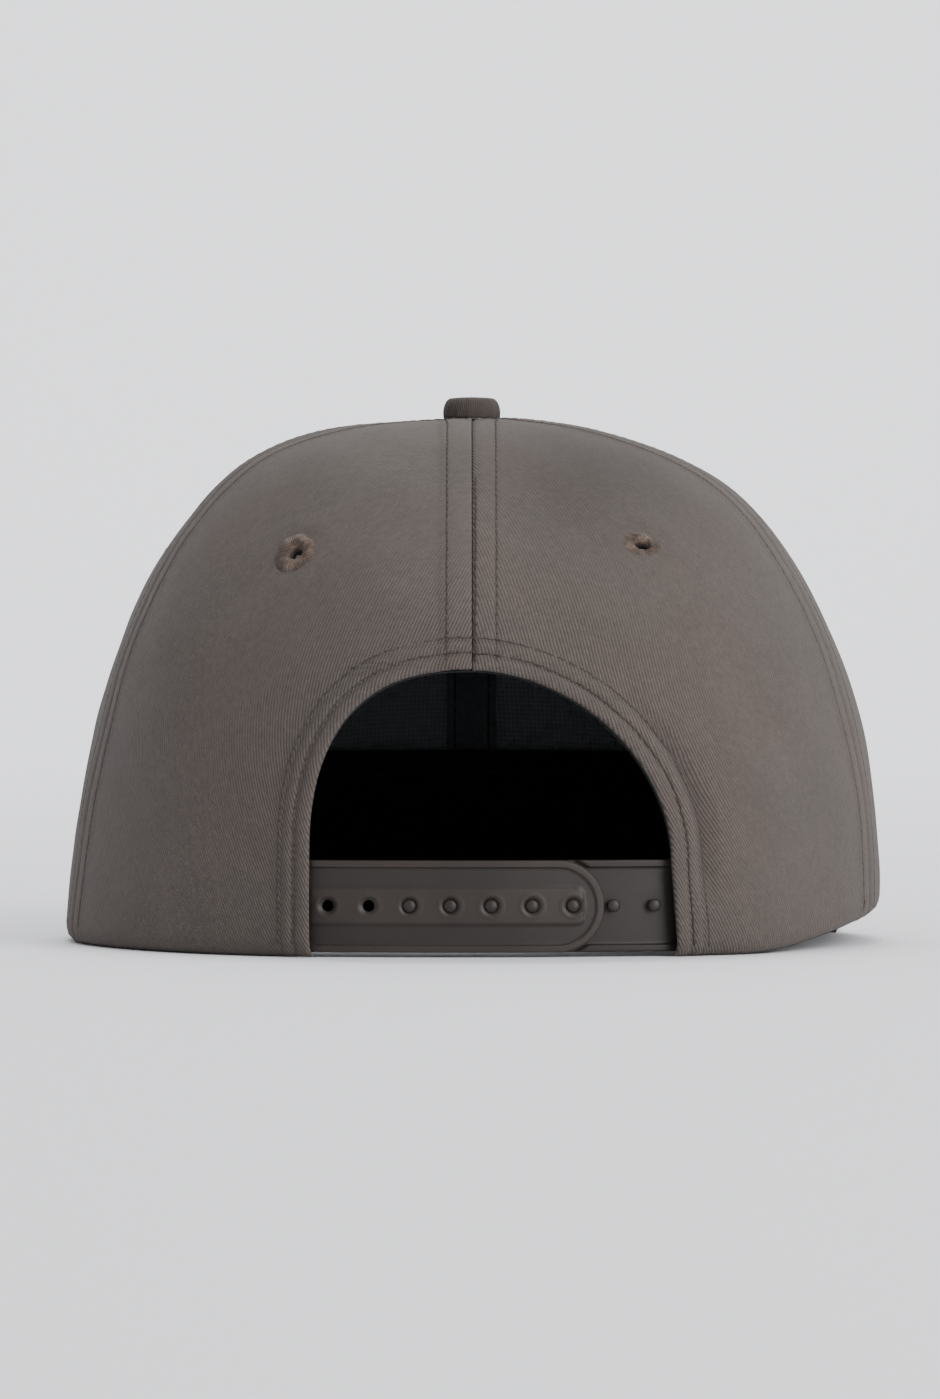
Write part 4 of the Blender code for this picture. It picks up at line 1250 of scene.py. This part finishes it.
def buckram(node, start, end):
    rows, columns = 60, 40
    middle = (start + end) / 2
    top = float(climb_at_height(middle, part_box(node)[1][2]))
    climbs = even_climbs(middle, 0.0, top, rows)
    share = np.linspace(0.004, 0.996, columns)
    turns = np.repeat((start + (end - start) * share)[None, :], rows, 0)
    climbs = np.repeat(climbs[:, None], columns, 1)
    points = crown_point(turns, climbs, np.full(turns.shape, BUCKRAM_DEPTH))
    known, length = climb_lengths(middle)
    radius = radius_at(turns, climbs)
    weave = np.stack([(turns - middle) * radius, np.interp(climbs, known, length)], -1)
    lining_sheet(
        node + "_sheet", node, points, weave, "buckram_mesh", 0.5 * MM
    )


def tape_path(front, rear, rear_low, layer):
    """A seam tape's points from its front end over the crown's top to its rear end."""
    front_depth = 3.3 * MM
    rear_depth = 1.9 * MM
    low_front = float(climb_at_height(front, 27 * MM))
    rising = even_climbs(front, low_front, 0.9995, 90)
    falling = even_climbs(rear, rear_low, 0.9995, 90)[::-1]
    across = [-1, -0.97, -0.9, -0.72, -0.6, -0.45, 0, 0.45, 0.6, 0.72, 0.9, 0.97, 1]
    across = np.array(across) * TAPE_HALF_WIDTH
    relief = [-0.12, 0.0, 0.1, -0.05, 0.1, 0.12, 0.14, 0.12, 0.1, -0.05, 0.1, 0.0, -0.12]
    relief = np.array(relief) * MM
    rows = []
    for forward, turn, climbs in ((True, front, rising), (False, rear, falling)):
        for climb in climbs:
            radius = float(radius_at(turn, climb))
            spread_out = float(ease((radius - 13 * MM) / (18 * MM)))
            depth = front_depth + layer * 0.8 * MM * (1 - spread_out)
            if not forward:
                depth += (rear_depth - front_depth) * spread_out
            offset = across * (1 if forward else -1)
            x = radius * math.sin(turn) + offset * math.cos(turn)
            y = radius * math.cos(turn) - offset * math.sin(turn)
            bent = turn + np.arctan2(offset, radius)
            far = crown_point(bent, np.full(len(offset), climb), depth + relief)
            own_turn = np.arctan2(x, y)
            own_climb = climb_at_radius(own_turn, np.hypot(x, y))
            near_height = crown_face(own_turn, own_climb)[:, 2] - depth - relief
            near = np.stack([x, y, near_height], -1)
            blend = float(ease((radius - 14 * MM) / (14 * MM)))
            rows.append(near * (1 - blend) + far * blend)
    points = np.array(rows)
    length = lengths_along(points[:, 6])
    sideways = np.repeat(across[None, :], len(points), 0)
    weave = np.stack([sideways, np.repeat(length[:, None], len(across), 1)], -1)
    return points, weave, length[-1]


def seam_tapes():
    rear_above_arch = float(climb_at_height(math.pi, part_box("rear_arch_binding")[1][2] + 0.6 * MM))
    tapes = [
        ("centre_seam_tape", 0.0, math.pi, rear_above_arch, 0),
        ("right_to_left_seam_tape", FRONT_SEAM, -REAR_SEAM_LEFT, None, 1),
        ("left_to_right_seam_tape", -FRONT_SEAM, REAR_SEAM_RIGHT, None, 2),
    ]
    for node, front, rear, low, layer in tapes:
        low = float(climb_at_height(rear, 24 * MM)) if low is None else low
        points, weave, length = tape_path(front, rear, low, layer)
        obj = lining_sheet(node + "_cloth", node, points, weave, "tape_twill", 0.45 * MM)
        inner = BVHTree.FromObject(obj, bpy.context.evaluated_depsgraph_get())
        lines = [points[4:-4, 3], points[4:-4, 9]]

        def inward(place):
            return -outward_from_crown(place * 1.03)

        pieces = stitch_rows(node + "_stitching", lines, inner, inward, pitch=3.2 * MM)
        sew_on(pieces)
        paint(pieces[0], "lining_thread")


def arch_binding():
    """The facing inside the arch's edge."""
    shares = even_arch_shares(220)
    shares = shares[(shares > 0.02) & (shares < 0.98)]
    offsets = np.array([0.4, 0.7, 1.2, 2.2, 3.4, 4.6, 6.0, 7.4, 8.6, 9.4, 9.8]) * MM
    relief = np.array([0.25, 0.1, 0, 0, 0.12, 0, 0, 0.12, 0, 0.05, 0.2]) * MM
    points = np.zeros((len(shares), len(offsets), 3))
    weave = np.zeros((len(shares), len(offsets), 2))
    for i, (offset, sink) in enumerate(zip(offsets, relief)):
        x, height = beside_arch_edge(shares, offset)
        points[:, i] = rear_point(x, np.maximum(height, 0.4 * MM), FACING_DEPTH - sink)
        weave[:, i, 0] = offset
        weave[:, i, 1] = np.linspace(0, 0.19, len(shares))
    lining_sheet(
        "rear_arch_facing", "rear_arch_binding", points, weave, "sweatband_twill", 0.5 * MM
    )


# ---- The snap strap ----
STRAP_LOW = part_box("female_strap_half")[0][2]
STRAP_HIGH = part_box("female_strap_half")[1][2]
STRAP_WIDTH = STRAP_HIGH - STRAP_LOW
STRAP_PLATE = 1.0 * MM
STRAP_RAISED = 0.5 * MM
STRAP_BEND_RADIUS = 190 * MM
STRAP_RIM = 1.6 * MM
RIB_HALF = 4.0 * MM
TAB_LENGTH = 12 * MM
SNAP_PITCH = 8.9 * MM
SNAP_COUNT = 7
SNAP_RISE = 10.2 * MM
HOLE_RADIUS = 1.3 * MM
# A peg's outline from its foot to its head: radius and height, in millimetres
PEG_PROFILE = [(1.50, 0.0), (1.20, 0.3), (1.14, 1.0), (1.16, 1.25)]
PEG_PROFILE += [(1.38, 1.55), (1.42, 1.8), (1.22, 2.06), (0.74, 2.26)]
TIP_TO_SNAP = 6.7 * MM
FEMALE_TIP_X = 28.7 * MM
HINGES = {joint["name"]: joint for joint in frame["joints"]}


def hinge_place(name):
    return np.array(HINGES[name]["pos_m"], float)


def strap_cylinder():
    """Centre and radius, in plan, of the curve between the two strap halves."""
    half_step = (STRAP_PLATE + GAP) / 2
    left = hinge_place("female_strap_flex")[:2]
    right = hinge_place("male_strap_flex")[:2]
    chord = right - left
    outward = np.array([chord[1], -chord[0]]) / np.linalg.norm(chord)
    left = left - outward * half_step
    right = right + outward * half_step
    chord = right - left
    drop = math.sqrt(STRAP_BEND_RADIUS**2 - (np.linalg.norm(chord) / 2) ** 2)
    inward = np.array([-chord[1], chord[0]]) / np.linalg.norm(chord)
    return (left + right) / 2 + inward * drop


CYLINDER = strap_cylinder()
STRAP_DEPTH = 3.2 * MM


def tab_line(hinge, right):
    """Plan points of the sewn end, from its far end to the hinge, in the middle of the plate."""
    heading = 1 if right else -1
    x = hinge[0] + heading * np.linspace(TAB_LENGTH, 1.2 * MM, 14)
    height = STRAP_LOW + STRAP_WIDTH / 2
    return rear_point(x, np.full(len(x), height), STRAP_DEPTH + 0.45 * MM)[:, :2]


def strap_curve(right, outward, end_x):
    """Plan points of a whole strap half from its sewn end to its tip, and the x of each."""
    hinge = hinge_place("male_strap_flex" if right else "female_strap_flex")
    tab = tab_line(hinge, right)
    x = np.linspace(hinge[0], end_x, 160)
    angle = np.arcsin((x - CYLINDER[0]) / STRAP_BEND_RADIUS)
    reach = STRAP_BEND_RADIUS + outward
    free = np.stack([CYLINDER[0] + reach * np.sin(angle), CYLINDER[1] - reach * np.cos(angle)], -1)
    line = np.concatenate([tab, free])
    smooth = line.copy()
    smooth[1:-1] = (line[:-2] + 2 * line[1:-1] + line[2:]) / 4
    tab_end = hinge[0] + (1 if right else -1) * TAB_LENGTH
    marks = np.concatenate([np.linspace(tab_end, hinge[0], 15)[:-1], x])
    return smooth, marks


def bent_strap(flat, line, marks):
    """Takes (x, up, out) of a flat strap to its place on the curve, x measured as on the cylinder."""
    order = np.argsort(marks)
    marks, line = marks[order], line[order]
    step = 0.3 * MM
    x, up, out = flat[..., 0], flat[..., 1], flat[..., 2]
    px = np.interp(x, marks, line[:, 0])
    py = np.interp(x, marks, line[:, 1])
    ax = np.interp(x + step, marks, line[:, 0]) - np.interp(x - step, marks, line[:, 0])
    ay = np.interp(x + step, marks, line[:, 1]) - np.interp(x - step, marks, line[:, 1])
    length = np.hypot(ax, ay)
    ax, ay = ax / length, ay / length
    return np.stack([px + ay * out, py - ax * out, STRAP_LOW + up], -1)


def edge_distance(x, up, tip, sign):
    """How far a place on a strap is from its outline, whose far end is round."""
    radius = STRAP_WIDTH / 2
    centre = tip - sign * radius
    beyond = np.clip((x - centre) * sign, 0, None)
    return radius - np.hypot(beyond, up - radius)


def strap_slab(base_x, tip, sign, top_at, bottom_at):
    """The top and bottom of a slab over a strap's outline.

    top_at and bottom_at give the two faces' heights from (x, up).
    """
    radius = STRAP_WIDTH / 2
    centre = tip - sign * radius
    straight = np.arange(0, abs(centre - base_x), 0.42 * MM) * sign + base_x
    cap = centre + sign * radius * np.sin(np.linspace(0, math.pi / 2, 34))
    cap[-1] = tip - sign * 0.01 * MM
    x = np.concatenate([straight, cap])
    beyond = np.clip((x - centre) * sign, 0, radius)
    half = np.sqrt(np.maximum(radius**2 - beyond**2, (0.05 * MM) ** 2))
    edge = np.array([0, 0.12, 0.3, 0.55, 0.9, 1.2, 1.45, 1.65, 1.9, 2.3]) * MM / radius
    between = np.linspace(-1 + edge[-1], 1 - edge[-1], 42)[1:-1]
    share = np.concatenate([-1 + edge, between, 1 - edge[::-1]])
    up = radius + half[:, None] * share[None, :]
    grid_x = np.repeat(x[:, None], len(share), 1)
    return [np.stack([grid_x, up, face_at(grid_x, up)], -1) for face_at in (top_at, bottom_at)]


def slab_object(name, top, bottom):
    """Joins a top and a bottom grid into one closed body."""
    rows, columns = top.shape[:2]
    count = rows * columns
    faces = grid_faces(rows, columns)
    below = [tuple(k + count for k in face[::-1]) for face in faces]
    rim = []
    for j in range(rows - 1):
        for i in (0, columns - 1):
            a = j * columns + i
            b = a + columns
            quad = (b, a, a + count, b + count) if i == 0 else (a, b, b + count, a + count)
            rim.append(quad)
    for i in range(columns - 1):
        for j in (0, rows - 1):
            a = j * columns + i
            b = a + 1
            quad = (a, b, b + count, a + count) if j == 0 else (b, a, a + count, b + count)
            rim.append(quad)
    points = np.concatenate([top.reshape(-1, 3), bottom.reshape(-1, 3)])
    obj = new_object(name, points, faces + below + rim)
    working = bmesh.new()
    working.from_mesh(obj.data)
    bmesh.ops.recalc_face_normals(working, faces=working.faces)
    working.to_mesh(obj.data)
    working.free()
    return obj


def snap_places(first, count):
    return [first + SNAP_PITCH * k for k in range(count)]


def female_strap():
    """The outer half: raised rim and rib, and a row of ringed holes."""
    low = GAP / 2
    high = low + STRAP_PLATE
    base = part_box("female_strap_half")[0][0] - TAB_LENGTH
    holes = snap_places(FEMALE_TIP_X - TIP_TO_SNAP - 6 * SNAP_PITCH, SNAP_COUNT)
    rib_end = FEMALE_TIP_X - 4.5 * MM
    free_from = hinge_place("female_strap_flex")[0] + 0.5 * MM

    def top(x, up):
        edge = edge_distance(x, up, FEMALE_TIP_X, 1)
        rim = STRAP_RAISED * (1 - ease((edge - STRAP_RIM) / (0.35 * MM) + 0.5))
        across = RIB_HALF - np.abs(up - STRAP_WIDTH / 2)
        ahead = rib_end - x
        corner = 1.2 * MM
        inset = np.minimum(across, ahead)
        both = np.maximum(corner - across, 0) ** 2 + np.maximum(corner - ahead, 0) ** 2
        inset = np.where((across < corner) & (ahead < corner), corner - np.sqrt(both), inset)
        rib = 0.85 * STRAP_RAISED * ease(inset / (0.35 * MM) + 0.5)
        surface = high + np.maximum(rim, rib)
        for hole in holes:
            away = np.hypot(x - hole, up - SNAP_RISE)
            surface = surface + 0.14 * MM * np.exp(-(((away - 2.5 * MM) / (0.30 * MM)) ** 2))
            surface = surface - 0.55 * MM * (1 - ease((away - 1.2 * MM) / (0.95 * MM)))
        surface = surface + rolled_edge(edge, 0.28 * MM)
        sunk = ease((free_from - x) / (1.5 * MM))
        return surface * (1 - sunk) + (high - 0.1 * MM) * sunk

    def bottom(x, up):
        edge = edge_distance(x, up, FEMALE_TIP_X, 1)
        return low - rolled_edge(edge, 0.25 * MM)

    flat_top, flat_bottom = strap_slab(base, FEMALE_TIP_X, 1, top, bottom)
    raised = np.clip((flat_top[..., 2] - high) / STRAP_RAISED, 0, 1)
    middle = (low + high) / 2
    line, marks = strap_curve(False, middle, FEMALE_TIP_X + 2 * MM)
    flat_top[..., 2] -= middle
    flat_bottom[..., 2] -= middle
    faces = [bent_strap(face, line, marks) for face in (flat_top, flat_bottom)]
    obj = slab_object("female_strap", *faces)
    heights = np.concatenate([raised.ravel(), np.zeros(raised.size)]).astype(np.float32)
    obj.data.attributes.new("raised", "FLOAT", "POINT").data.foreach_set("value", heights)
    drill(obj, holes, line, marks)
    paint(obj, "strap_plastic")
    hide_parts("female_strap_half", "female_strap_tab")
    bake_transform(obj)


def drill(obj, holes, line, marks):
    """Opens the strap's holes with round cutters."""
    working = bmesh.new()
    for x in holes:
        flat = np.array([[x, SNAP_RISE, 0.0], [x, SNAP_RISE, 1.0 * MM]])
        start, end = bent_strap(flat, line, marks)
        turned = Vector(end - start).normalized().to_track_quat("Z", "Y").to_matrix().to_4x4()
        bmesh.ops.create_cone(
            working,
            cap_ends=True,
            segments=40,
            radius1=HOLE_RADIUS,
            radius2=HOLE_RADIUS,
            depth=5 * MM,
            matrix=Matrix.Translation(Vector(start)) @ turned,
        )
    mesh = bpy.data.meshes.new("hole_cutter")
    working.to_mesh(mesh)
    working.free()
    cutter = bpy.data.objects.new("hole_cutter", mesh)
    bpy.context.scene.collection.objects.link(cutter)
    cut = obj.modifiers.new("holes", "BOOLEAN")
    cut.operation = "DIFFERENCE"
    cut.solver = "EXACT"
    cut.object = cutter
    applied(obj)
    obj.data.shade_smooth()
    obj.data.set_sharp_from_angle(angle=math.radians(50))
    bpy.data.objects.remove(cutter)


def male_strap():
    """The inner half: raised rims, a flat field and a row of domed pegs."""
    high = -GAP / 2
    low = high - STRAP_PLATE
    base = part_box("male_strap_half")[1][0] + TAB_LENGTH
    first = FEMALE_TIP_X - TIP_TO_SNAP - 4 * SNAP_PITCH
    tip = first - TIP_TO_SNAP
    hinge = hinge_place("male_strap_flex")

    def top(x, up):
        edge = edge_distance(x, up, tip, -1)
        clear_of_tip = -edge_distance(x, up, FEMALE_TIP_X, 1) - 0.5 * MM
        bare = ease(clear_of_tip / (0.5 * MM)) * ease((hinge[0] + 6 * MM - x) / (2 * MM))
        rim = STRAP_RAISED * (1 - ease((edge - STRAP_RIM) / (0.35 * MM) + 0.5)) * bare
        return high + rim + rolled_edge(edge, 0.28 * MM)

    def bottom(x, up):
        edge = edge_distance(x, up, tip, -1)
        return low - rolled_edge(edge, 0.25 * MM)

    flat_top, flat_bottom = strap_slab(base, tip, -1, top, bottom)
    middle = (low + high) / 2
    line, marks = strap_curve(True, middle, tip - 2 * MM)
    flat_top[..., 2] -= middle
    flat_bottom[..., 2] -= middle
    faces = [bent_strap(face, line, marks) for face in (flat_top, flat_bottom)]
    obj = slab_object("male_strap", *faces)
    obj.data.set_sharp_from_angle(angle=math.radians(50))
    paint(obj, "inner_strap_plastic")
    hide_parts("male_strap_half", "male_strap_tab")
    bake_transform(obj)
    peg_parts = []
    surface = high - middle
    for x in snap_places(first, SNAP_COUNT):
        flat = np.array([[x, SNAP_RISE, surface - 0.2 * MM], [x, SNAP_RISE, surface + 1.0 * MM]])
        foot, ahead = bent_strap(flat, line, marks)
        peg_parts.append(peg(foot, ahead))
    pegs = joined("male_strap_pegs", peg_parts)
    paint(pegs, "strap_plastic")
    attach(pegs, "male_strap")


def peg(foot, ahead):
    """A peg with a waist and a domed head."""
    outward = (ahead - foot) / np.linalg.norm(ahead - foot)
    side = np.cross([0, 0, 1.0], outward)
    side /= np.linalg.norm(side)
    up = np.cross(outward, side)
    sides = 28
    points = []
    for radius, height in PEG_PROFILE:
        for k in range(sides):
            angle = 2 * math.pi * k / sides
            ring = radius * MM * (math.cos(angle) * side + math.sin(angle) * up)
            points.append(foot + ring + height * MM * outward)
    points.append(foot + 2.33 * MM * outward)
    points.append(foot)
    faces = grid_faces(len(PEG_PROFILE), sides, True)
    last = (len(PEG_PROFILE) - 1) * sides
    for k in range(sides):
        after = (k + 1) % sides
        faces.append((last + k, last + after, len(points) - 2))
        faces.append((after, k, len(points) - 1))
    return np.array(points), faces


# ---- The studio ----
CAMERA_PLACE = (-0.0004, -1.699, 0.080)
CAMERA_TILT = math.radians(90 - 0.837)  # from looking straight down
CAMERA_LENS = 189.4
SWEEP_RADIUS = 1.2
SWEEP_FROM = 1.6  # where the floor starts to curve up


def studio():
    """A seamless pale sweep and soft light from the right and above."""
    profile = [(-3.0, 0.0), (SWEEP_FROM, 0.0)]
    for k in range(1, 13):
        angle = math.radians(90 * k / 12)
        y = SWEEP_FROM + SWEEP_RADIUS * math.sin(angle)
        profile.append((y, SWEEP_RADIUS * (1 - math.cos(angle))))
    profile += [(2.8, 4.0)]
    points = np.zeros((len(profile), 2, 3))
    for j, (y, z) in enumerate(profile):
        points[j, 0] = (-4.0, y, z)
        points[j, 1] = (4.0, y, z)
    sweep = grid_object("studio_sweep", points)
    if sweep.data.polygons[0].normal.z < 0:
        sweep.data.flip_normals()
    paint(sweep, "studio_floor")

    world = bpy.data.worlds.new("studio")
    world.use_nodes = True
    background = world.node_tree.nodes["Background"]
    background.inputs["Color"].default_value = (0.965, 0.975, 1.0, 1)
    background.inputs["Strength"].default_value = 0.87
    bpy.context.scene.world = world

    at_cap = (0, 0, 0.06)
    area_light("right_low_light", (1.3, -1.5, 0.35), at_cap, 1.2, 34, (1.0, 0.99, 0.98))
    area_light("right_high_light", (1.3, -1.2, 1.4), at_cap, 1.2, 20, (1.0, 0.99, 0.98))
    area_light("left_low_light", (-1.6, -1.3, 0.5), at_cap, 1.2, 2, (0.97, 0.98, 1.0))
    area_light("wall_light", (0, 1.6, 3.2), (0, 2.8, 1.2), 2.0, 123, (1.0, 1.0, 1.0))


def area_light(name, place, target, size, power, colour):
    data = bpy.data.lights.new(name, "AREA")
    data.shape = "DISK"
    data.size = size
    data.energy = power
    data.color = colour
    obj = bpy.data.objects.new(name, data)
    obj.location = place
    aim = Vector(target) - Vector(place)
    obj.rotation_euler = aim.to_track_quat("-Z", "Y").to_euler()
    bpy.context.scene.collection.objects.link(obj)


def camera():
    data = bpy.data.cameras.new("camera")
    data.lens = CAMERA_LENS
    data.sensor_width = 36.0
    data.clip_end = 50
    obj = bpy.data.objects.new("camera", data)
    obj.location = CAMERA_PLACE
    obj.rotation_euler = (CAMERA_TILT, 0, 0)
    bpy.context.scene.collection.objects.link(obj)
    bpy.context.scene.camera = obj


camera()
make_materials()
EYELETS = eyelet_centres()
crown_panels()
crown_topstitching()
for eyelet_name, eyelet_centre in EYELETS.items():
    eyelet(eyelet_name, eyelet_centre)
button()
visor()
sweatband()
buckram("left_buckram", -FRONT_SEAM, 0.0)
buckram("right_buckram", 0.0, FRONT_SEAM)
seam_tapes()
arch_binding()
female_strap()
male_strap()
studio()
